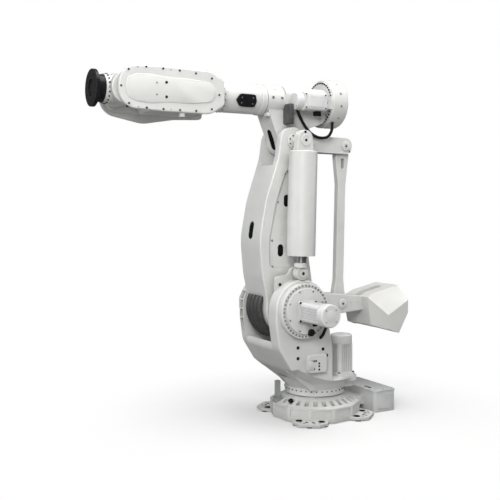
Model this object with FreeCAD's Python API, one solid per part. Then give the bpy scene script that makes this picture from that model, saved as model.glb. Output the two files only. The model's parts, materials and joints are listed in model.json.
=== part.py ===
import FreeCAD, Part
import math
import os

V = FreeCAD.Vector

# Industrial robot arm with a parallelogram linkage. X points along the arm,
# Y to its left and Z up; the origin is on axis 1, on the floor. The rest pose
# has the lower arm leaning back a little and the forearm level.

# ---- driving dimensions, millimetres and degrees ----
shoulder_x, shoulder_z = 445.0, 1200.0     # axis 2
lower_arm_length = 1742.0                  # axis 2 to axis 3
rest_lean = -1.6                           # lower arm from the vertical, back is negative
lever_length = 752.0                       # axis 2 to the rod pin
lever_droop = 1.0                          # lever below the level, towards the rear
forearm_rise = 438.0                       # axis 3 up to axis 4
wrist_x = 2240.0                           # axis 5
flange_reach = 290.0                       # axis 5 to the tool flange face
running_gap = 6.0                          # between faces that turn past each other
seat_gap = 0.3                             # between faces of two bodies that turn on each other
pin_gap = 0.05                             # round a pin in its bore

# base
base_wall_r, base_wall_top = 490.0, 156.0
base_sides = 12
foot_x, foot_y = 400.0, 495.0              # outer edge of a foot, middle
foot_width_in, foot_width_out = 370.0, 220.0
foot_plate_low, foot_plate_top = 14.0, 40.0
foot_bolt_r, foot_boss_r, foot_pad_r = 17.0, 28.0, 30.0
turntable_z, ring_r = 254.0, 297.0
box_x0, box_x1, box_y0, box_y1, box_top = -840.0, -560.0, -320.0, 345.0, 240.0
post_x, post_y, post_top = 428.0, -75.0, 386.0

# frame
flange_r, flange_top = 326.0, 333.0
cheek_in, left_in, left_out, right_out, cheek_r = 236.0, 292.0, 440.0, 336.0, 312.0
gear_t, gear_r, gear_cap_r, gear_cap_t = 60.0, 285.0, 236.0, 16.0
bowl_r = 405.0                             # hollow between the cheeks, round axis 2
motor_side, motor_length, motor_cap_r = 190.0, 430.0, 114.0
right_motor_length = 300.0
column_x, column_y = -192.0, 232.0         # axis 1 motor
frame_back = 64.0                          # rear of the frame above the motor shelf
shelf_z = 452.0

# lower arm
arm_out, arm_in = 210.0, 132.0
knuckle_r, elbow_pin_r = 150.0, 62.0
hub_r, shoulder_pin_r = 285.0, 120.0
bulge = 378.0

# spring balancer
balancer_y, balancer_r, balancer_bore_r = 385.0, 148.0, 124.0
balancer_foot_rise = 375.0                 # axis 2 up to the lower pin
balancer_sleeve_r, balancer_pin_r = 60.0, 30.0
balancer_eye_r, balancer_eye_w = 72.0, 84.0
stub_r = 38.0                              # elbow stub that carries the balancer
lug_t = 44.0

# upper arm, wrist and tool flange
tube_r, tube_start, tube_end, seam_w = 154.0, 687.0, 1250.0, 7.0
drum_x0, drum_x1, drum_r, drum_rise = -275.0, -75.0, 264.0, 8.0
motor_4_back = 52.0                           # rear of the motor housing, ahead of the drum
beam_half, beam_tip_half = 88.0, 88.0
wrist_tip, wrist_half_h = 2352.0, 216.0
tine_in, tine_out, cover_t = 196.0, 250.0, 24.0
wrist_block_front = 2036.0
tilt_r, disc_r, disc_t = 150.0, 178.0, 34.0
tool_pcd, tool_hole_r, tool_holes = 250.0, 9.0, 12

# rod, lever and counterweight
rod_width = 104.0
rod_boss_r, rod_pin_r, rod_half = 84.0, 40.0, 38.0
lever_half, lever_fork, lever_tail = 96.0, 45.0, 1090.0
weight_front, weight_back, weight_half = 575.0, 985.0, 400.0

# cables and hoses
cable_r, hose_r, hose_path_r = 16.0, 32.0, 316.0


def turned(shape, degrees, x, z):
    """Turn a shape about the Y line through (x, z); forward is positive."""
    out = shape.copy()
    out.rotate(V(x, 0, z), V(0, 1, 0), degrees)
    return out


elbow_x = shoulder_x + lower_arm_length * math.sin(math.radians(rest_lean))
elbow_z = shoulder_z + lower_arm_length * math.cos(math.radians(rest_lean))
forearm_z = elbow_z + forearm_rise
lever_dx = -lever_length * math.cos(math.radians(lever_droop))
lever_dz = -lever_length * math.sin(math.radians(lever_droop))
low_pin = (shoulder_x + lever_dx, shoulder_z + lever_dz)
high_pin = (elbow_x + lever_dx, elbow_z + lever_dz)
foot_pin = (shoulder_x + balancer_foot_rise * math.sin(math.radians(rest_lean)),
            shoulder_z + balancer_foot_rise * math.cos(math.radians(rest_lean)))


def cyl_x(x0, x1, y, z, r):
    return Part.makeCylinder(r, x1 - x0, V(x0, y, z), V(1, 0, 0))


def cyl_y(y0, y1, x, z, r):
    return Part.makeCylinder(r, y1 - y0, V(x, y0, z), V(0, 1, 0))


def cyl_z(z0, z1, x, y, r):
    return Part.makeCylinder(r, z1 - z0, V(x, y, z0), V(0, 0, 1))


def box(x0, x1, y0, y1, z0, z1):
    return Part.makeBox(x1 - x0, y1 - y0, z1 - z0, V(x0, y0, z0))


def rounded_outline(points, radii):
    """Closed wire through corner points, each corner rounded by its radius."""
    n = len(points)
    edges, ends = [], []
    for i in range(n):
        p, a, b = points[i], points[i - 1], points[(i + 1) % n]
        u, w = (a - p).normalize(), (b - p).normalize()
        half = u.getAngle(w) / 2
        r = radii[i]
        if r <= 0 or math.pi / 2 - half < 1e-4:
            ends.append((p, p))
            continue
        cut = r / math.tan(half)
        start, end = p + u * cut, p + w * cut
        centre = p + (u + w).normalize() * (r / math.sin(half))
        middle = centre + (p - centre).normalize() * r
        ends.append((start, end))
        edges.append((i, Part.Arc(start, middle, end).toShape()))
    arcs = dict(edges)
    path = []
    for i in range(n):
        if i in arcs:
            path.append(arcs[i])
        a, b = ends[i][1], ends[(i + 1) % n][0]
        if a.distanceToPoint(b) > 1e-6:
            path.append(Part.LineSegment(a, b).toShape())
    return Part.Wire(path)


def side_plate(corners, y0, y1):
    """Plate with an XZ outline, given as (x, z, corner radius), from y0 to y1."""
    points = [V(x, y0, z) for x, z, r in corners]
    wire = rounded_outline(points, [r for x, z, r in corners])
    return Part.Face(wire).extrude(V(0, y1 - y0, 0))


def top_plate(corners, z0, z1):
    """Plate with an XY outline, given as (x, y, corner radius), from z0 to z1."""
    points = [V(x, y, z0) for x, y, r in corners]
    wire = rounded_outline(points, [r for x, y, r in corners])
    return Part.Face(wire).extrude(V(0, 0, z1 - z0))


def front_plate(corners, x0, x1):
    """Plate with a YZ outline, given as (y, z, corner radius), from x0 to x1."""
    points = [V(x0, y, z) for y, z, r in corners]
    wire = rounded_outline(points, [r for y, z, r in corners])
    return Part.Face(wire).extrude(V(x1 - x0, 0, 0))


def fuse(*shapes):
    return shapes[0].multiFuse(list(shapes[1:])).removeSplitter()


def rim(shape, radius, chosen):
    """Round every edge that the test picks."""
    return shape.makeFillet(radius, [e for e in shape.Edges if chosen(e)])


def in_plane(axis, *values):
    """Edge test: the whole edge lies in one of the planes axis = value."""
    def test(edge):
        low = getattr(edge.BoundBox, axis + "Min")
        high = getattr(edge.BoundBox, axis + "Max")
        return high - low < 0.01 and min(abs(low - v) for v in values) < 0.01
    return test


def ring_points(count, r, start=0.0):
    for i in range(count):
        angle = math.radians(start + 360.0 * i / count)
        yield r * math.cos(angle), r * math.sin(angle)


nodes = {}


# ---- base ----
def foot_outline(sx, sy):
    """A foot's wedge outline, from under the wall out to its tip."""
    length = math.hypot(foot_x, foot_y)
    ux, uy = sx * foot_x / length, sy * foot_y / length
    rows = ((base_wall_r - 70, foot_width_in), (length - 90, foot_width_in), (length, foot_width_out))
    left = [(d * ux - w / 2 * uy, d * uy + w / 2 * ux, 14) for d, w in rows]
    right = [(d * ux + w / 2 * uy, d * uy - w / 2 * ux, 14) for d, w in reversed(rows)]
    return left + right


def foot_bolts(sx, sy):
    """Floor bolt places in one foot."""
    length = math.hypot(foot_x, foot_y)
    ux, uy = sx * foot_x / length, sy * foot_y / length
    for side in (-1, 1):
        d, w = length - 72, side * (foot_width_out / 2 - 10)
        yield d * ux - w * uy, d * uy + w * ux


def make_base():
    wall = [(x, y, 10) for x, y in ring_points(base_sides, base_wall_r, 21.0)]
    lower = top_plate(wall, foot_plate_low, base_wall_top)
    cone = Part.makeCone(base_wall_r - 22, ring_r + 12, turntable_z - 16 - base_wall_top,
                         V(0, 0, base_wall_top))
    ring = cyl_z(base_wall_top, turntable_z - seat_gap, 0, 0, ring_r)
    feet = [top_plate(foot_outline(sx, sy), foot_plate_low, foot_plate_top)
            for sx in (-1, 1) for sy in (-1, 1)]
    neck = box(box_x1, -300, -150, 150, 60, 150)
    skirt = fuse(lower, cone, ring)
    casting = fuse(skirt, neck, *feet)
    pockets = []
    for x, y in ring_points(28, 398, 6.0):
        turn = math.degrees(math.atan2(y, x))
        pocket = Part.makeBox(74, 44, 120, V(-37, -22, 0))
        pocket.rotate(V(0, 0, 0), V(0, 0, 1), turn)
        pocket.translate(V(x, y, base_wall_top + 6))
        pockets.append(pocket)
    panels = []
    for i in range(base_sides):
        middle = 21.0 + 360.0 * (i + 0.5) / base_sides
        depth = base_wall_r * math.cos(math.pi / base_sides)
        panel = Part.makeBox(16, 196, 74, V(depth - 8, -98, foot_plate_top + 24))
        panel.rotate(V(0, 0, 0), V(0, 0, 1), middle)
        panels.append(panel)
    places = [place for sx in (-1, 1) for sy in (-1, 1) for place in foot_bolts(sx, sy)]
    bosses = [cyl_z(0, foot_plate_low + 1, x, y, foot_boss_r) for x, y in places]
    holes = [cyl_z(-1, foot_plate_top + 1, x, y, foot_bolt_r) for x, y in places]
    casting = fuse(casting, *bosses).cut(Part.makeCompound(pockets + panels + holes))
    nodes["base_casting"] = casting
    make_cable_post(skirt)
    pads = []
    for sx in (-1, 1):
        for sy in (-1, 1):
            length = math.hypot(foot_x, foot_y)
            ux, uy = sx * foot_x / length, sy * foot_y / length
            for side in (-1, 0, 1):
                d, w = (length - 110 if side else length - 34), side * 150
                x, y = d * ux - w * uy, d * uy + w * ux
                pads.append(cyl_z(0, foot_plate_low, x, y, foot_pad_r))
    nodes["levelling_pads"] = Part.makeCompound(pads)


def make_connector_box():
    walls = top_plate([(box_x0, box_y0, 18), (box_x1, box_y0, 18),
                       (box_x1, box_y1, 40), (box_x0, box_y1, 18)], 0, box_top - 12)
    nodes["connector_box"] = walls
    lid = top_plate([(box_x0 - 8, box_y0 - 8, 22), (box_x1 + 8, box_y0 - 8, 22),
                     (box_x1 + 8, box_y1 + 8, 44), (box_x0 - 8, box_y1 + 8, 22)], box_top - 12, box_top)
    nodes["connector_lid"] = lid


def make_cable_post(skirt):
    """Post at the front of the base that holds the cables clear of the turntable."""
    x, y = post_x, post_y
    post = box(x - 24, x + 24, y - 22, y + 22, base_wall_top, post_top)
    foot = box(x - 40, x + 40, y - 40, y + 40, base_wall_top, base_wall_top + 50)
    nodes["cable_post"] = fuse(post, foot).cut(skirt)


# ---- frame that turns on axis 1 ----
def chin_outline(lip_radius):
    """Front outline that the cheeks and the bowl share, up to the lip."""
    return [(-300, flange_top - 10, 0), (250, flange_top - 10, 0), (302, 377, 60), (560, 570, 260),
            (720, 820, lip_radius)]


def cheek_outline():
    x, z, r = shoulder_x, shoulder_z, cheek_r
    return chin_outline(200) + [(x + r, z - 130, 120), (x + r, z + r, r - 2), (x - r, z + r, r - 2),
                             (x - r, z - 60, 120), (frame_back, 780, 120), (frame_back, shelf_z, 30),
                                (-300, shelf_z - 20, 60)]


def make_frame():
    flange = cyl_z(turntable_z, flange_top, 0, 0, flange_r)
    x, z = shoulder_x, shoulder_z
    left = rim(side_plate(cheek_outline(), left_in, left_out), 16, in_plane("Y", left_out))
    right = rim(side_plate(cheek_outline(), -right_out, -cheek_in), 16, in_plane("Y", -right_out))
    keep = Part.makeCone(flange_r, 385, 400 - flange_top + 10, V(0, 0, flange_top - 10))
    keep = keep.fuse(Part.makeCone(385, 660, 200, V(0, 0, 400)))
    keep = keep.fuse(cyl_z(600, 1800, 100, 0, 1600))
    bowl = side_plate(chin_outline(80) + [(x + 248, z - 322, 12), (x + 220, z - 345, 0), (x, z, 0),
                                        (frame_back, z - 330, 60), (frame_back, shelf_z, 30),
                                        (-300, shelf_z - 20, 60)], -cheek_in - 5, left_in + 5)
    bowl = bowl.cut(cyl_y(-400, 400, x, z, bowl_r))
    bowl = bowl.cut(chin_pocket())
    pedestal = Part.makeCone(318, 420, 118, V(0, 0, flange_top - 4))
    shelf = top_plate([(column_x - 135, column_y - 120, 50), (column_x + 125, column_y - 120, 20),
                       (column_x + 125, column_y + 130, 60), (column_x - 135, column_y + 130, 60)],
                      post_top + 8, shelf_z)
    body = fuse(flange, left.common(keep), right.common(keep), bowl, pedestal, shelf)
    body = body.cut(box(-700, 220, -lever_half - 14, lever_half + 14, 640, 2000))
    body = body.cut(Part.makeCompound(rim_pockets()))
    fx, fz = foot_pin
    body = body.cut(cyl_y(balancer_y - 60, left_out + 10, fx, fz, balancer_eye_r + running_gap))
    bore = cyl_y(-right_out - 1, left_out + 1, x, z, shoulder_pin_r + 30)
    nodes["frame_casting"] = body.cut(bore)


def chin_pocket():
    """Deep window behind the far cheek, in the slope under the lower arm."""
    x, z = shoulder_x, shoulder_z
    return side_plate([(x + 66, z - 456, 20), (x + 232, z - 326, 30), (x + 232, z - 200, 20),
                       (x + 66, z - 200, 20)], -cheek_in + 8, -cheek_in + 126)


def rim_pockets():
    """Lightening pockets in the front rim of the far cheek, one above the other."""
    x, z = shoulder_x + cheek_r, shoulder_z
    y0, y1 = -right_out + 18, -cheek_in - 20
    tall = [box(x - 62, x + 40, y0, y1, z + low, z + low + 78) for low in (70, -26, -124)]
    lean = side_plate([(x - 40, z - 265, 10), (x + 60, z - 265, 10), (x + 60, z - 142, 10),
                       (x - 62, z - 142, 10)], y0, y1)
    return tall + [lean]


def make_gear_cover(inner, outer, sign, name):
    """Round gear unit bolted on the outside of a cheek."""
    x, z = shoulder_x, shoulder_z
    face, cap_face = outer + sign * gear_t, outer + sign * (gear_t + gear_cap_t)
    ring = rim(cyl_y(min(outer, face), max(outer, face), x, z, gear_r), 12, in_plane("Y", face))
    cap = rim(cyl_y(min(face, cap_face), max(face, cap_face), x, z, gear_cap_r), 8, in_plane("Y", cap_face))
    plug = cyl_y(min(inner, outer), max(inner, outer), x, z, shoulder_pin_r + 30)
    nodes[name] = fuse(ring, cap, plug)


def motor_body(length):
    """Ribbed servo motor standing along +Z from the origin."""
    h = motor_side / 2
    body = top_plate([(-h, -h, 34), (h, -h, 34), (h, h, 34), (-h, h, 34)], 0, length - 92)
    slots = []
    for i in range(-2, 3):
        slots.append(box(i * 24 - 4, i * 24 + 4, h - 8, h + 1, 40, length - 112))
        slots.append(box(i * 24 - 4, i * 24 + 4, -h - 1, -h + 8, 40, length - 112))
        slots.append(box(h - 8, h + 1, i * 24 - 4, i * 24 + 4, 40, length - 112))
        slots.append(box(-h - 1, -h + 8, i * 24 - 4, i * 24 + 4, 40, length - 112))
    body = body.cut(Part.makeCompound(slots))
    cap = rim(cyl_z(length - 92, length, 0, 0, motor_cap_r), 14, in_plane("Z", length))
    foot = top_plate([(-h - 14, -h - 14, 30), (h + 14, -h - 14, 30),
                      (h + 14, h + 14, 30), (-h - 14, h + 14, 30)], 0, 26)
    return fuse(body, cap, foot)


def placed(shape, axis, angle, x, y, z):
    out = shape.copy()
    out.rotate(V(0, 0, 0), axis, angle)
    out.translate(V(x, y, z))
    return out


def make_motors():
    reach = gear_t + gear_cap_t
    nodes["motor_2"] = placed(motor_body(motor_length), V(1, 0, 0), -90,
                              shoulder_x, left_out + reach, shoulder_z)
    nodes["motor_3"] = placed(motor_body(right_motor_length), V(1, 0, 0), 90,
                              shoulder_x, -right_out - reach, shoulder_z)
    nodes["motor_1"] = placed(motor_body(motor_length), V(0, 0, 1), 0, column_x, column_y, shelf_z)


def make_service_panel():
    y0 = left_out
    plate = side_plate([(175, 556, 16), (412, 556, 50), (412, 740, 50), (175, 740, 16)], y0, y0 + 48)
    cap = cyl_y(y0 + 48, y0 + 60, 374, 638, 46)
    nodes["service_panel"] = fuse(rim(plate, 8, in_plane("Y", y0 + 48)), cap)


def make_balancer_lug():
    """Ear on the left cheek with the pin that carries the foot of the balancer."""
    x, z = foot_pin
    eye_face = balancer_y - balancer_eye_w / 2 - running_gap
    y1 = balancer_y - balancer_sleeve_r - running_gap
    ear = side_plate([(x - 64, z - 220, 0), (x + 250, z - 220, 0), (x + 250, z - 36, 30),
                      (x + 90, z - 12, 60), (x + 62, z + 62, 60), (x - 64, z + 62, 60)], y1 - lug_t, y1)
    ear = ear.fuse(cyl_y(y1, eye_face, x, z, balancer_pin_r + 14)).cut(nodes["frame_casting"])
    ear = ear.cut(cyl_y(0, left_in, shoulder_x, shoulder_z, hub_r - 30 + running_gap))
    nodes["balancer_lug"] = ear.cut(cyl_y(0, 600, x, z, balancer_pin_r))
    pin = cyl_y(y1 - lug_t, balancer_y + balancer_eye_w / 2 + 3, x, z, balancer_pin_r)
    washer = cyl_y(balancer_y + balancer_eye_w / 2 + 3, balancer_y + balancer_eye_w / 2 + 13, x, z, 44)
    nodes["balancer_low_pin"] = fuse(pin, washer)


# ---- lower arm ----
def arm_outline():
    """Side outline of the lower arm, standing upright on axis 2."""
    x, z, top = shoulder_x, shoulder_z, shoulder_z + lower_arm_length
    return [(x + hub_r, z + 90, 300), (x + 346, z + 330, 400), (x + bulge + 16, z + 700, 900),
            (x + 330, z + 1110, 1100), (x + 190, z + 1560, 400), (x + knuckle_r, top + 152, 148),
            (x - knuckle_r, top + 152, 148), (x - 130, z + 1000, 2000), (x - 285, z + 180, 200),
            (x - hub_r, z - hub_r, hub_r - 4), (x + hub_r, z - hub_r, hub_r - 4)]


def make_lower_arm():
    x, z, top = shoulder_x, shoulder_z, shoulder_z + lower_arm_length
    block = side_plate(arm_outline(), -arm_out, arm_out)
    block = rim(block, 14, in_plane("Y", -arm_out, arm_out))
    inside = side_plate([(x + 152, z - 400, 0), (x + 152, z - 176, 20), (x + 236, z - 60, 60),
                         (x + 248, z + 60, 40),
                         (x + 300, z + 330, 400), (x + bulge - 24, z + 700, 900), (x + 290, z + 1110, 1100),
                         (x + 164, z + 1490, 0), (x + 500, z + 1490, 0),
                         (x + 500, top + 300, 0), (x - 500, top + 300, 0), (x - 500, z - 400, 0)],
                        -arm_in, arm_in)
    block = block.cut(inside)
    panel = [(x + 268, z + 420, 60), (x + 282, z + 700, 700), (x + 205, z + 1110, 900),
             (x + 95, z + 1440, 60), (x - 70, z + 1440, 60), (x - 96, z + 1000, 900),
             (x - 130, z + 420, 60)]
    for side in (-1, 1):
        y0, y1 = sorted((side * (arm_out - 30), side * (arm_out + 5)))
        block = block.cut(side_plate(panel, y0, y1))
    for dz, dx in ((600, 120), (1120, 60)):
        hole = side_plate([(x + dx - 34, z + dz - 64, 33), (x + dx + 34, z + dz - 64, 33),
                           (x + dx + 34, z + dz + 64, 33), (x + dx - 34, z + dz + 64, 33)],
                          -arm_out - 5, arm_out + 5)
        block = block.cut(hole)
    slot = front_plate([(-46, z + 710, 44), (46, z + 710, 44), (46, z + 896, 44), (-46, z + 896, 44)],
                       x + 200, x + 500)
    block = block.cut(slot)
    left_hub = cyl_y(arm_out - 2, left_in - running_gap, x, z, hub_r - 30)
    right_hub = cyl_y(-cheek_in + running_gap, -arm_out + 2, x, z, hub_r - 30)
    block = fuse(block, left_hub, right_hub)
    elbow_bore = cyl_y(-400, 400, x, top, elbow_pin_r)
    shoulder_bore = cyl_y(-400, 400, x, z, shoulder_pin_r + pin_gap)
    block = block.cut(elbow_bore).cut(shoulder_bore)
    nodes["lower_arm"] = turned(block, rest_lean, shoulder_x, shoulder_z)
    caps = [rim(cyl_y(arm_out, arm_out + 12, x, top, 84), 5, in_plane("Y", arm_out + 12)),
            rim(cyl_y(-arm_out - 12, -arm_out, x, top, 84), 5, in_plane("Y", -arm_out - 12))]
    stub = cyl_y(arm_out + 12, balancer_y + balancer_eye_w / 2 + 4, x, top, stub_r)
    nodes["elbow_caps"] = turned(fuse(caps[0], stub), rest_lean, shoulder_x, shoulder_z).fuse(
        turned(caps[1], rest_lean, shoulder_x, shoulder_z))


def make_elbow_pin():
    """Pin through the fork; the upper arm's knuckle turns on it."""
    nodes["elbow_pin"] = cyl_y(-arm_out + 2, arm_out - 2, elbow_x, elbow_z, elbow_pin_r - pin_gap)


# ---- spring balancer ----
def make_balancer():
    x, top = shoulder_x, shoulder_z + lower_arm_length
    low = shoulder_z + balancer_foot_rise
    y = balancer_y
    tube_low, tube_high = low + 180, top - 112
    tube = cyl_z(tube_low, tube_high, x, y, balancer_r)
    tube = rim(tube, 10, in_plane("Z", tube_high))
    bore = cyl_z(tube_low - 1, tube_high - 40, x, y, balancer_bore_r)
    nodes["balancer_tube"] = turned(tube.cut(bore), rest_lean, shoulder_x, shoulder_z)
    eye_half = balancer_eye_w / 2
    eye = side_plate([(x - 104, tube_high, 0), (x + 104, tube_high, 0), (x + 78, top + 104, 76),
                      (x - 78, top + 104, 76)], y - eye_half, y + eye_half)
    eye = rim(eye, 8, in_plane("Y", y - eye_half, y + eye_half))
    eye = eye.cut(cyl_y(0, 900, x, top, stub_r + pin_gap))
    nodes["balancer_top_eye"] = turned(eye, rest_lean, shoulder_x, shoulder_z)
    sleeve = cyl_z(low + balancer_eye_r - 10, tube_high - 180, x, y, balancer_sleeve_r)
    nodes["balancer_piston"] = turned(sleeve, rest_lean, shoulder_x, shoulder_z)
    foot = cyl_y(y - eye_half, y + eye_half, x, low, balancer_eye_r)
    foot = rim(foot, 8, in_plane("Y", y - eye_half, y + eye_half))
    foot = foot.cut(cyl_y(0, 900, x, low, balancer_pin_r + pin_gap))
    foot = foot.cut(cyl_z(low + balancer_eye_r - 10, low + 300, x, y, balancer_sleeve_r))
    nodes["balancer_low_eye"] = turned(foot, rest_lean, shoulder_x, shoulder_z)


# ---- rod, lever and counterweight ----
def make_rod():
    """Parallel rod from the lever's pin up to the pin of the rear beam."""
    x, z = low_pin
    top = z + lower_arm_length
    w = rod_width / 2
    b = rod_boss_r
    body = side_plate([(x - b, z - b, b - 1), (x + b, z - b, b - 1), (x + b, z + 60, 60),
                       (x + w, z + 260, 200),
                       (x + w, top - 420, 200), (x + 92, top - 120, 60), (x + b, top + b, b - 1),
                       (x - b, top + b, b - 1), (x - b, top - 120, 60), (x - w, top - 420, 200),
                       (x - w, z + 260, 200), (x - b, z + 60, 60)], -rod_half, rod_half)
    body = rim(body, 12, in_plane("Y", -rod_half, rod_half))
    slot = side_plate([(x - 14, top - 250, 12), (x + 14, top - 250, 12), (x + 22, top - 130, 20),
                       (x - 22, top - 130, 20)], -100, 100)
    body = body.cut(slot)
    body = body.cut(cyl_y(-100, 100, x, z, rod_pin_r + pin_gap))
    body = body.cut(cyl_y(-100, 100, x, top, rod_pin_r + 4))
    nodes["parallel_rod"] = turned(body, rest_lean, *low_pin)


def make_lever():
    """Lever on the axis 2 line, forked round the foot of the rod."""
    x, z = shoulder_x, shoulder_z
    px = x - lever_length
    plate = side_plate([(x + 188, z + 188, 186), (x - 188, z + 188, 180), (px + 160, z + 120, 60),
                        (x - lever_tail, z + 70, 30), (x - lever_tail, z - 78, 30), (px + 160, z - 120, 60),
                        (x - 188, z - 188, 150), (x + 188, z - 188, 186)], -lever_half, lever_half)
    plate = rim(plate, 12, in_plane("Y", -lever_half, lever_half))
    throat = box(px - 112, px + 130, -lever_fork, lever_fork, z - 400, z + 400)
    throat = throat.fuse(box(px + 100, px + 575, -lever_fork, lever_fork, z - 60, z + 400))
    throat = throat.fuse(box(px + 500, x + 200, -lever_fork, lever_fork, z + 128, z + 400))
    throat = throat.fuse(box(x - lever_tail - 1, px - 100, -lever_fork, lever_fork, z - 45, z + 400))
    plate = plate.cut(throat)
    plate = plate.cut(cyl_y(-400, 400, x, z, shoulder_pin_r + pin_gap))
    plate = plate.cut(cyl_y(-400, 400, px, z, rod_pin_r + pin_gap))
    nodes["lever"] = turned(plate, -lever_droop, shoulder_x, shoulder_z)
    nodes["shoulder_shaft"] = cyl_y(-cheek_in, left_in, x, z, shoulder_pin_r)
    nodes["rod_pin"] = cyl_y(-lever_half - 6, lever_half + 6, *low_pin, rod_pin_r)


def make_counterweight():
    """Cast block bolted to the rear of the lever, symmetric about the lever."""
    front, rear, half = -weight_front, -weight_back, weight_half
    z = shoulder_z
    rings = [(-half, front - 130, rear, z - 130, z + 20, z - 340),
             (-half + 200, front, rear - 20, z + 52, z + 168, z - 300),
             (half - 200, front, rear - 20, z + 52, z + 168, z - 300),
             (half, front - 130, rear, z - 130, z + 20, z - 340)]
    wires = []
    for y, x0, x1, z_front, z_top, z_low in rings:
        points = [V(x0, y, z_front), V(x0 - 40, y, z_low + 40), V(x0 - 150, y, z_low),
                  V(x1, y, z - 120), V(x1, y, z_top), V(x0 - 90, y, z_front + 44)]
        wires.append(Part.makePolygon(points + points[:1]))
    block = Part.makeLoft(wires, True, True)
    slot = box(-weight_front - 330, -300, -rod_half - 14, rod_half + 14, z - 60, z + 400)
    block = block.cut(slot)
    nodes["counterweight"] = block.cut(nodes["lever"])


# ---- upper arm ----
def make_arm_house():
    z = forearm_z
    neck = cyl_x(drum_x1, tube_start - seam_w, 0, z, tube_r + 8)
    neck = neck.fuse(cyl_x(tube_start - seam_w, tube_start - seat_gap, 0, z, tube_r - 6))
    shoulder = front_plate([(-160, z - 130, 60), (160, z - 130, 60), (178, z + 150, 110),
                            (-178, z + 150, 110)], drum_x1, 470)
    half = arm_in - running_gap
    ex, ez = elbow_x, elbow_z
    web = side_plate([(ex - 130, ez - 110, 100), (ex + 110, ez - 110, 100), (ex + 150, ez + 30, 60),
                      (tube_start - 30, z - 130, 60), (tube_start - 30, z - 20, 0), (drum_x1, z - 20, 0),
                      (drum_x1, z - 200, 120), (ex - 200, z - 300, 120)], -half, half)
    knuckle = cyl_y(-half, half, ex, ez, knuckle_r - 12)
    hx, hz = high_pin
    beam = side_plate([(ex, ez + beam_half, 0), (hx - beam_half, hz + beam_half, beam_half - 2),
                       (hx - beam_half, hz - beam_half, beam_half - 2), (ex, ez - beam_half, 0)], -half, half)
    taper = top_plate([(ex + 10, half, 0), (ex - 160, half, 300), (hx + 150, beam_tip_half, 200),
                       (hx - 200, beam_tip_half, 0), (hx - 200, -beam_tip_half, 0),
                       (hx + 150, -beam_tip_half, 200), (ex - 160, -half, 300), (ex + 10, -half, 0)],
                      ez - 400, ez + 400)
    beam = beam.common(taper)
    house = fuse(neck, shoulder, web, knuckle, beam)
    throat = box(hx - 200, hx + 130, -lever_fork, lever_fork, hz - 300, hz + 300)
    house = house.cut(throat.fuse(box(hx + 100, hx + 340, -lever_fork, lever_fork, hz - 300, hz + 46)))
    slot = side_plate([(ex + 152, ez - 99, 14), (ex + 186, ez - 113, 14), (ex + 304, ez + 75, 14),
                       (ex + 270, ez + 95, 14)], half - 40, half + 5)
    house = house.cut(slot)
    house = house.cut(cyl_y(-400, 400, ex, ez, elbow_pin_r))
    house = house.cut(cyl_y(-400, 400, hx, hz, rod_pin_r))
    nodes["arm_house"] = house
    nodes["beam_pin"] = cyl_y(-beam_tip_half - 4, beam_tip_half + 4, hx, hz, rod_pin_r)
    drum = cyl_x(drum_x0, drum_x1, 0, z + drum_rise, drum_r)
    drum = rim(rim(drum, 14, in_plane("X", drum_x1)), 26, in_plane("X", drum_x0))
    nodes["rear_drum"] = drum
    h = motor_side / 2
    my, mz = 222.0, z - 14
    body = front_plate([(my - h, mz - h, 30), (my + h, mz - h, 30), (my + h, mz + h, 30),
                        (my - h, mz + h, 30)], motor_4_back, 330)
    cap = rim(cyl_x(330, 415, my, mz, 92), 12, in_plane("X", 415))
    mount = box(drum_x1, motor_4_back + 1, my - h + 4, my + 16, mz - 60, mz + 60)
    body = fuse(body, cap, mount).cut(fuse(neck, shoulder, web))
    nodes["motor_4"] = body
    boxed = side_plate([(418, z - 255, 12), (482, z - 255, 12), (482, z - 45, 12), (418, z - 45, 12)],
                       60, 232)
    nodes["junction_box"] = boxed.cut(fuse(neck, shoulder, web))


# ---- forearm, wrist and tool flange ----
def make_forearm():
    z = forearm_z
    tube = fuse(rim(cyl_x(tube_start, tube_start + 60, 0, z, tube_r + 8), 10, in_plane("X", tube_start + 60)),
                cyl_x(tube_start, tube_end, 0, z, tube_r))
    nodes["forearm_tube"] = tube
    plate = side_plate([(850, z - 54, 30), (1000, z - 54, 40), (1035, z, 30), (1000, z + 54, 40),
                        (850, z + 54, 30), (832, z, 20)], 100, tube_r + 14)
    plate.rotate(V(0, 0, z), V(1, 0, 0), -13)
    nodes["tube_cover"] = plate.cut(cyl_x(tube_start, tube_end, 0, z, tube_r))


def right_cover_outline():
    z = forearm_z
    h = wrist_half_h
    return [(tube_end, z - h + 4, 40), (tube_end + 300, z - h - 10, 200), (1900, z - h - 70, 300),
            (wrist_tip, z - h + 20, h - 36), (wrist_tip, z + h - 20, h - 36), (1900, z + h, 300),
            (tube_end + 150, z + h - 10, 200), (tube_end, z + 120, 60)]


def wrist_outline(grow):
    z = forearm_z
    h = wrist_half_h + grow
    tip = wrist_tip + grow
    return [(tube_end, z - 120 - grow, 60), (tube_end + 150, z - h, 200), (1900, z - h, 300),
            (tip, z - h + 20, h - 36), (tip, z + h - 20, h - 36), (1900, z + h, 300),
            (tube_end + 150, z + h - 10, 200), (tube_end, z + 120 + grow, 60)]


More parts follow.
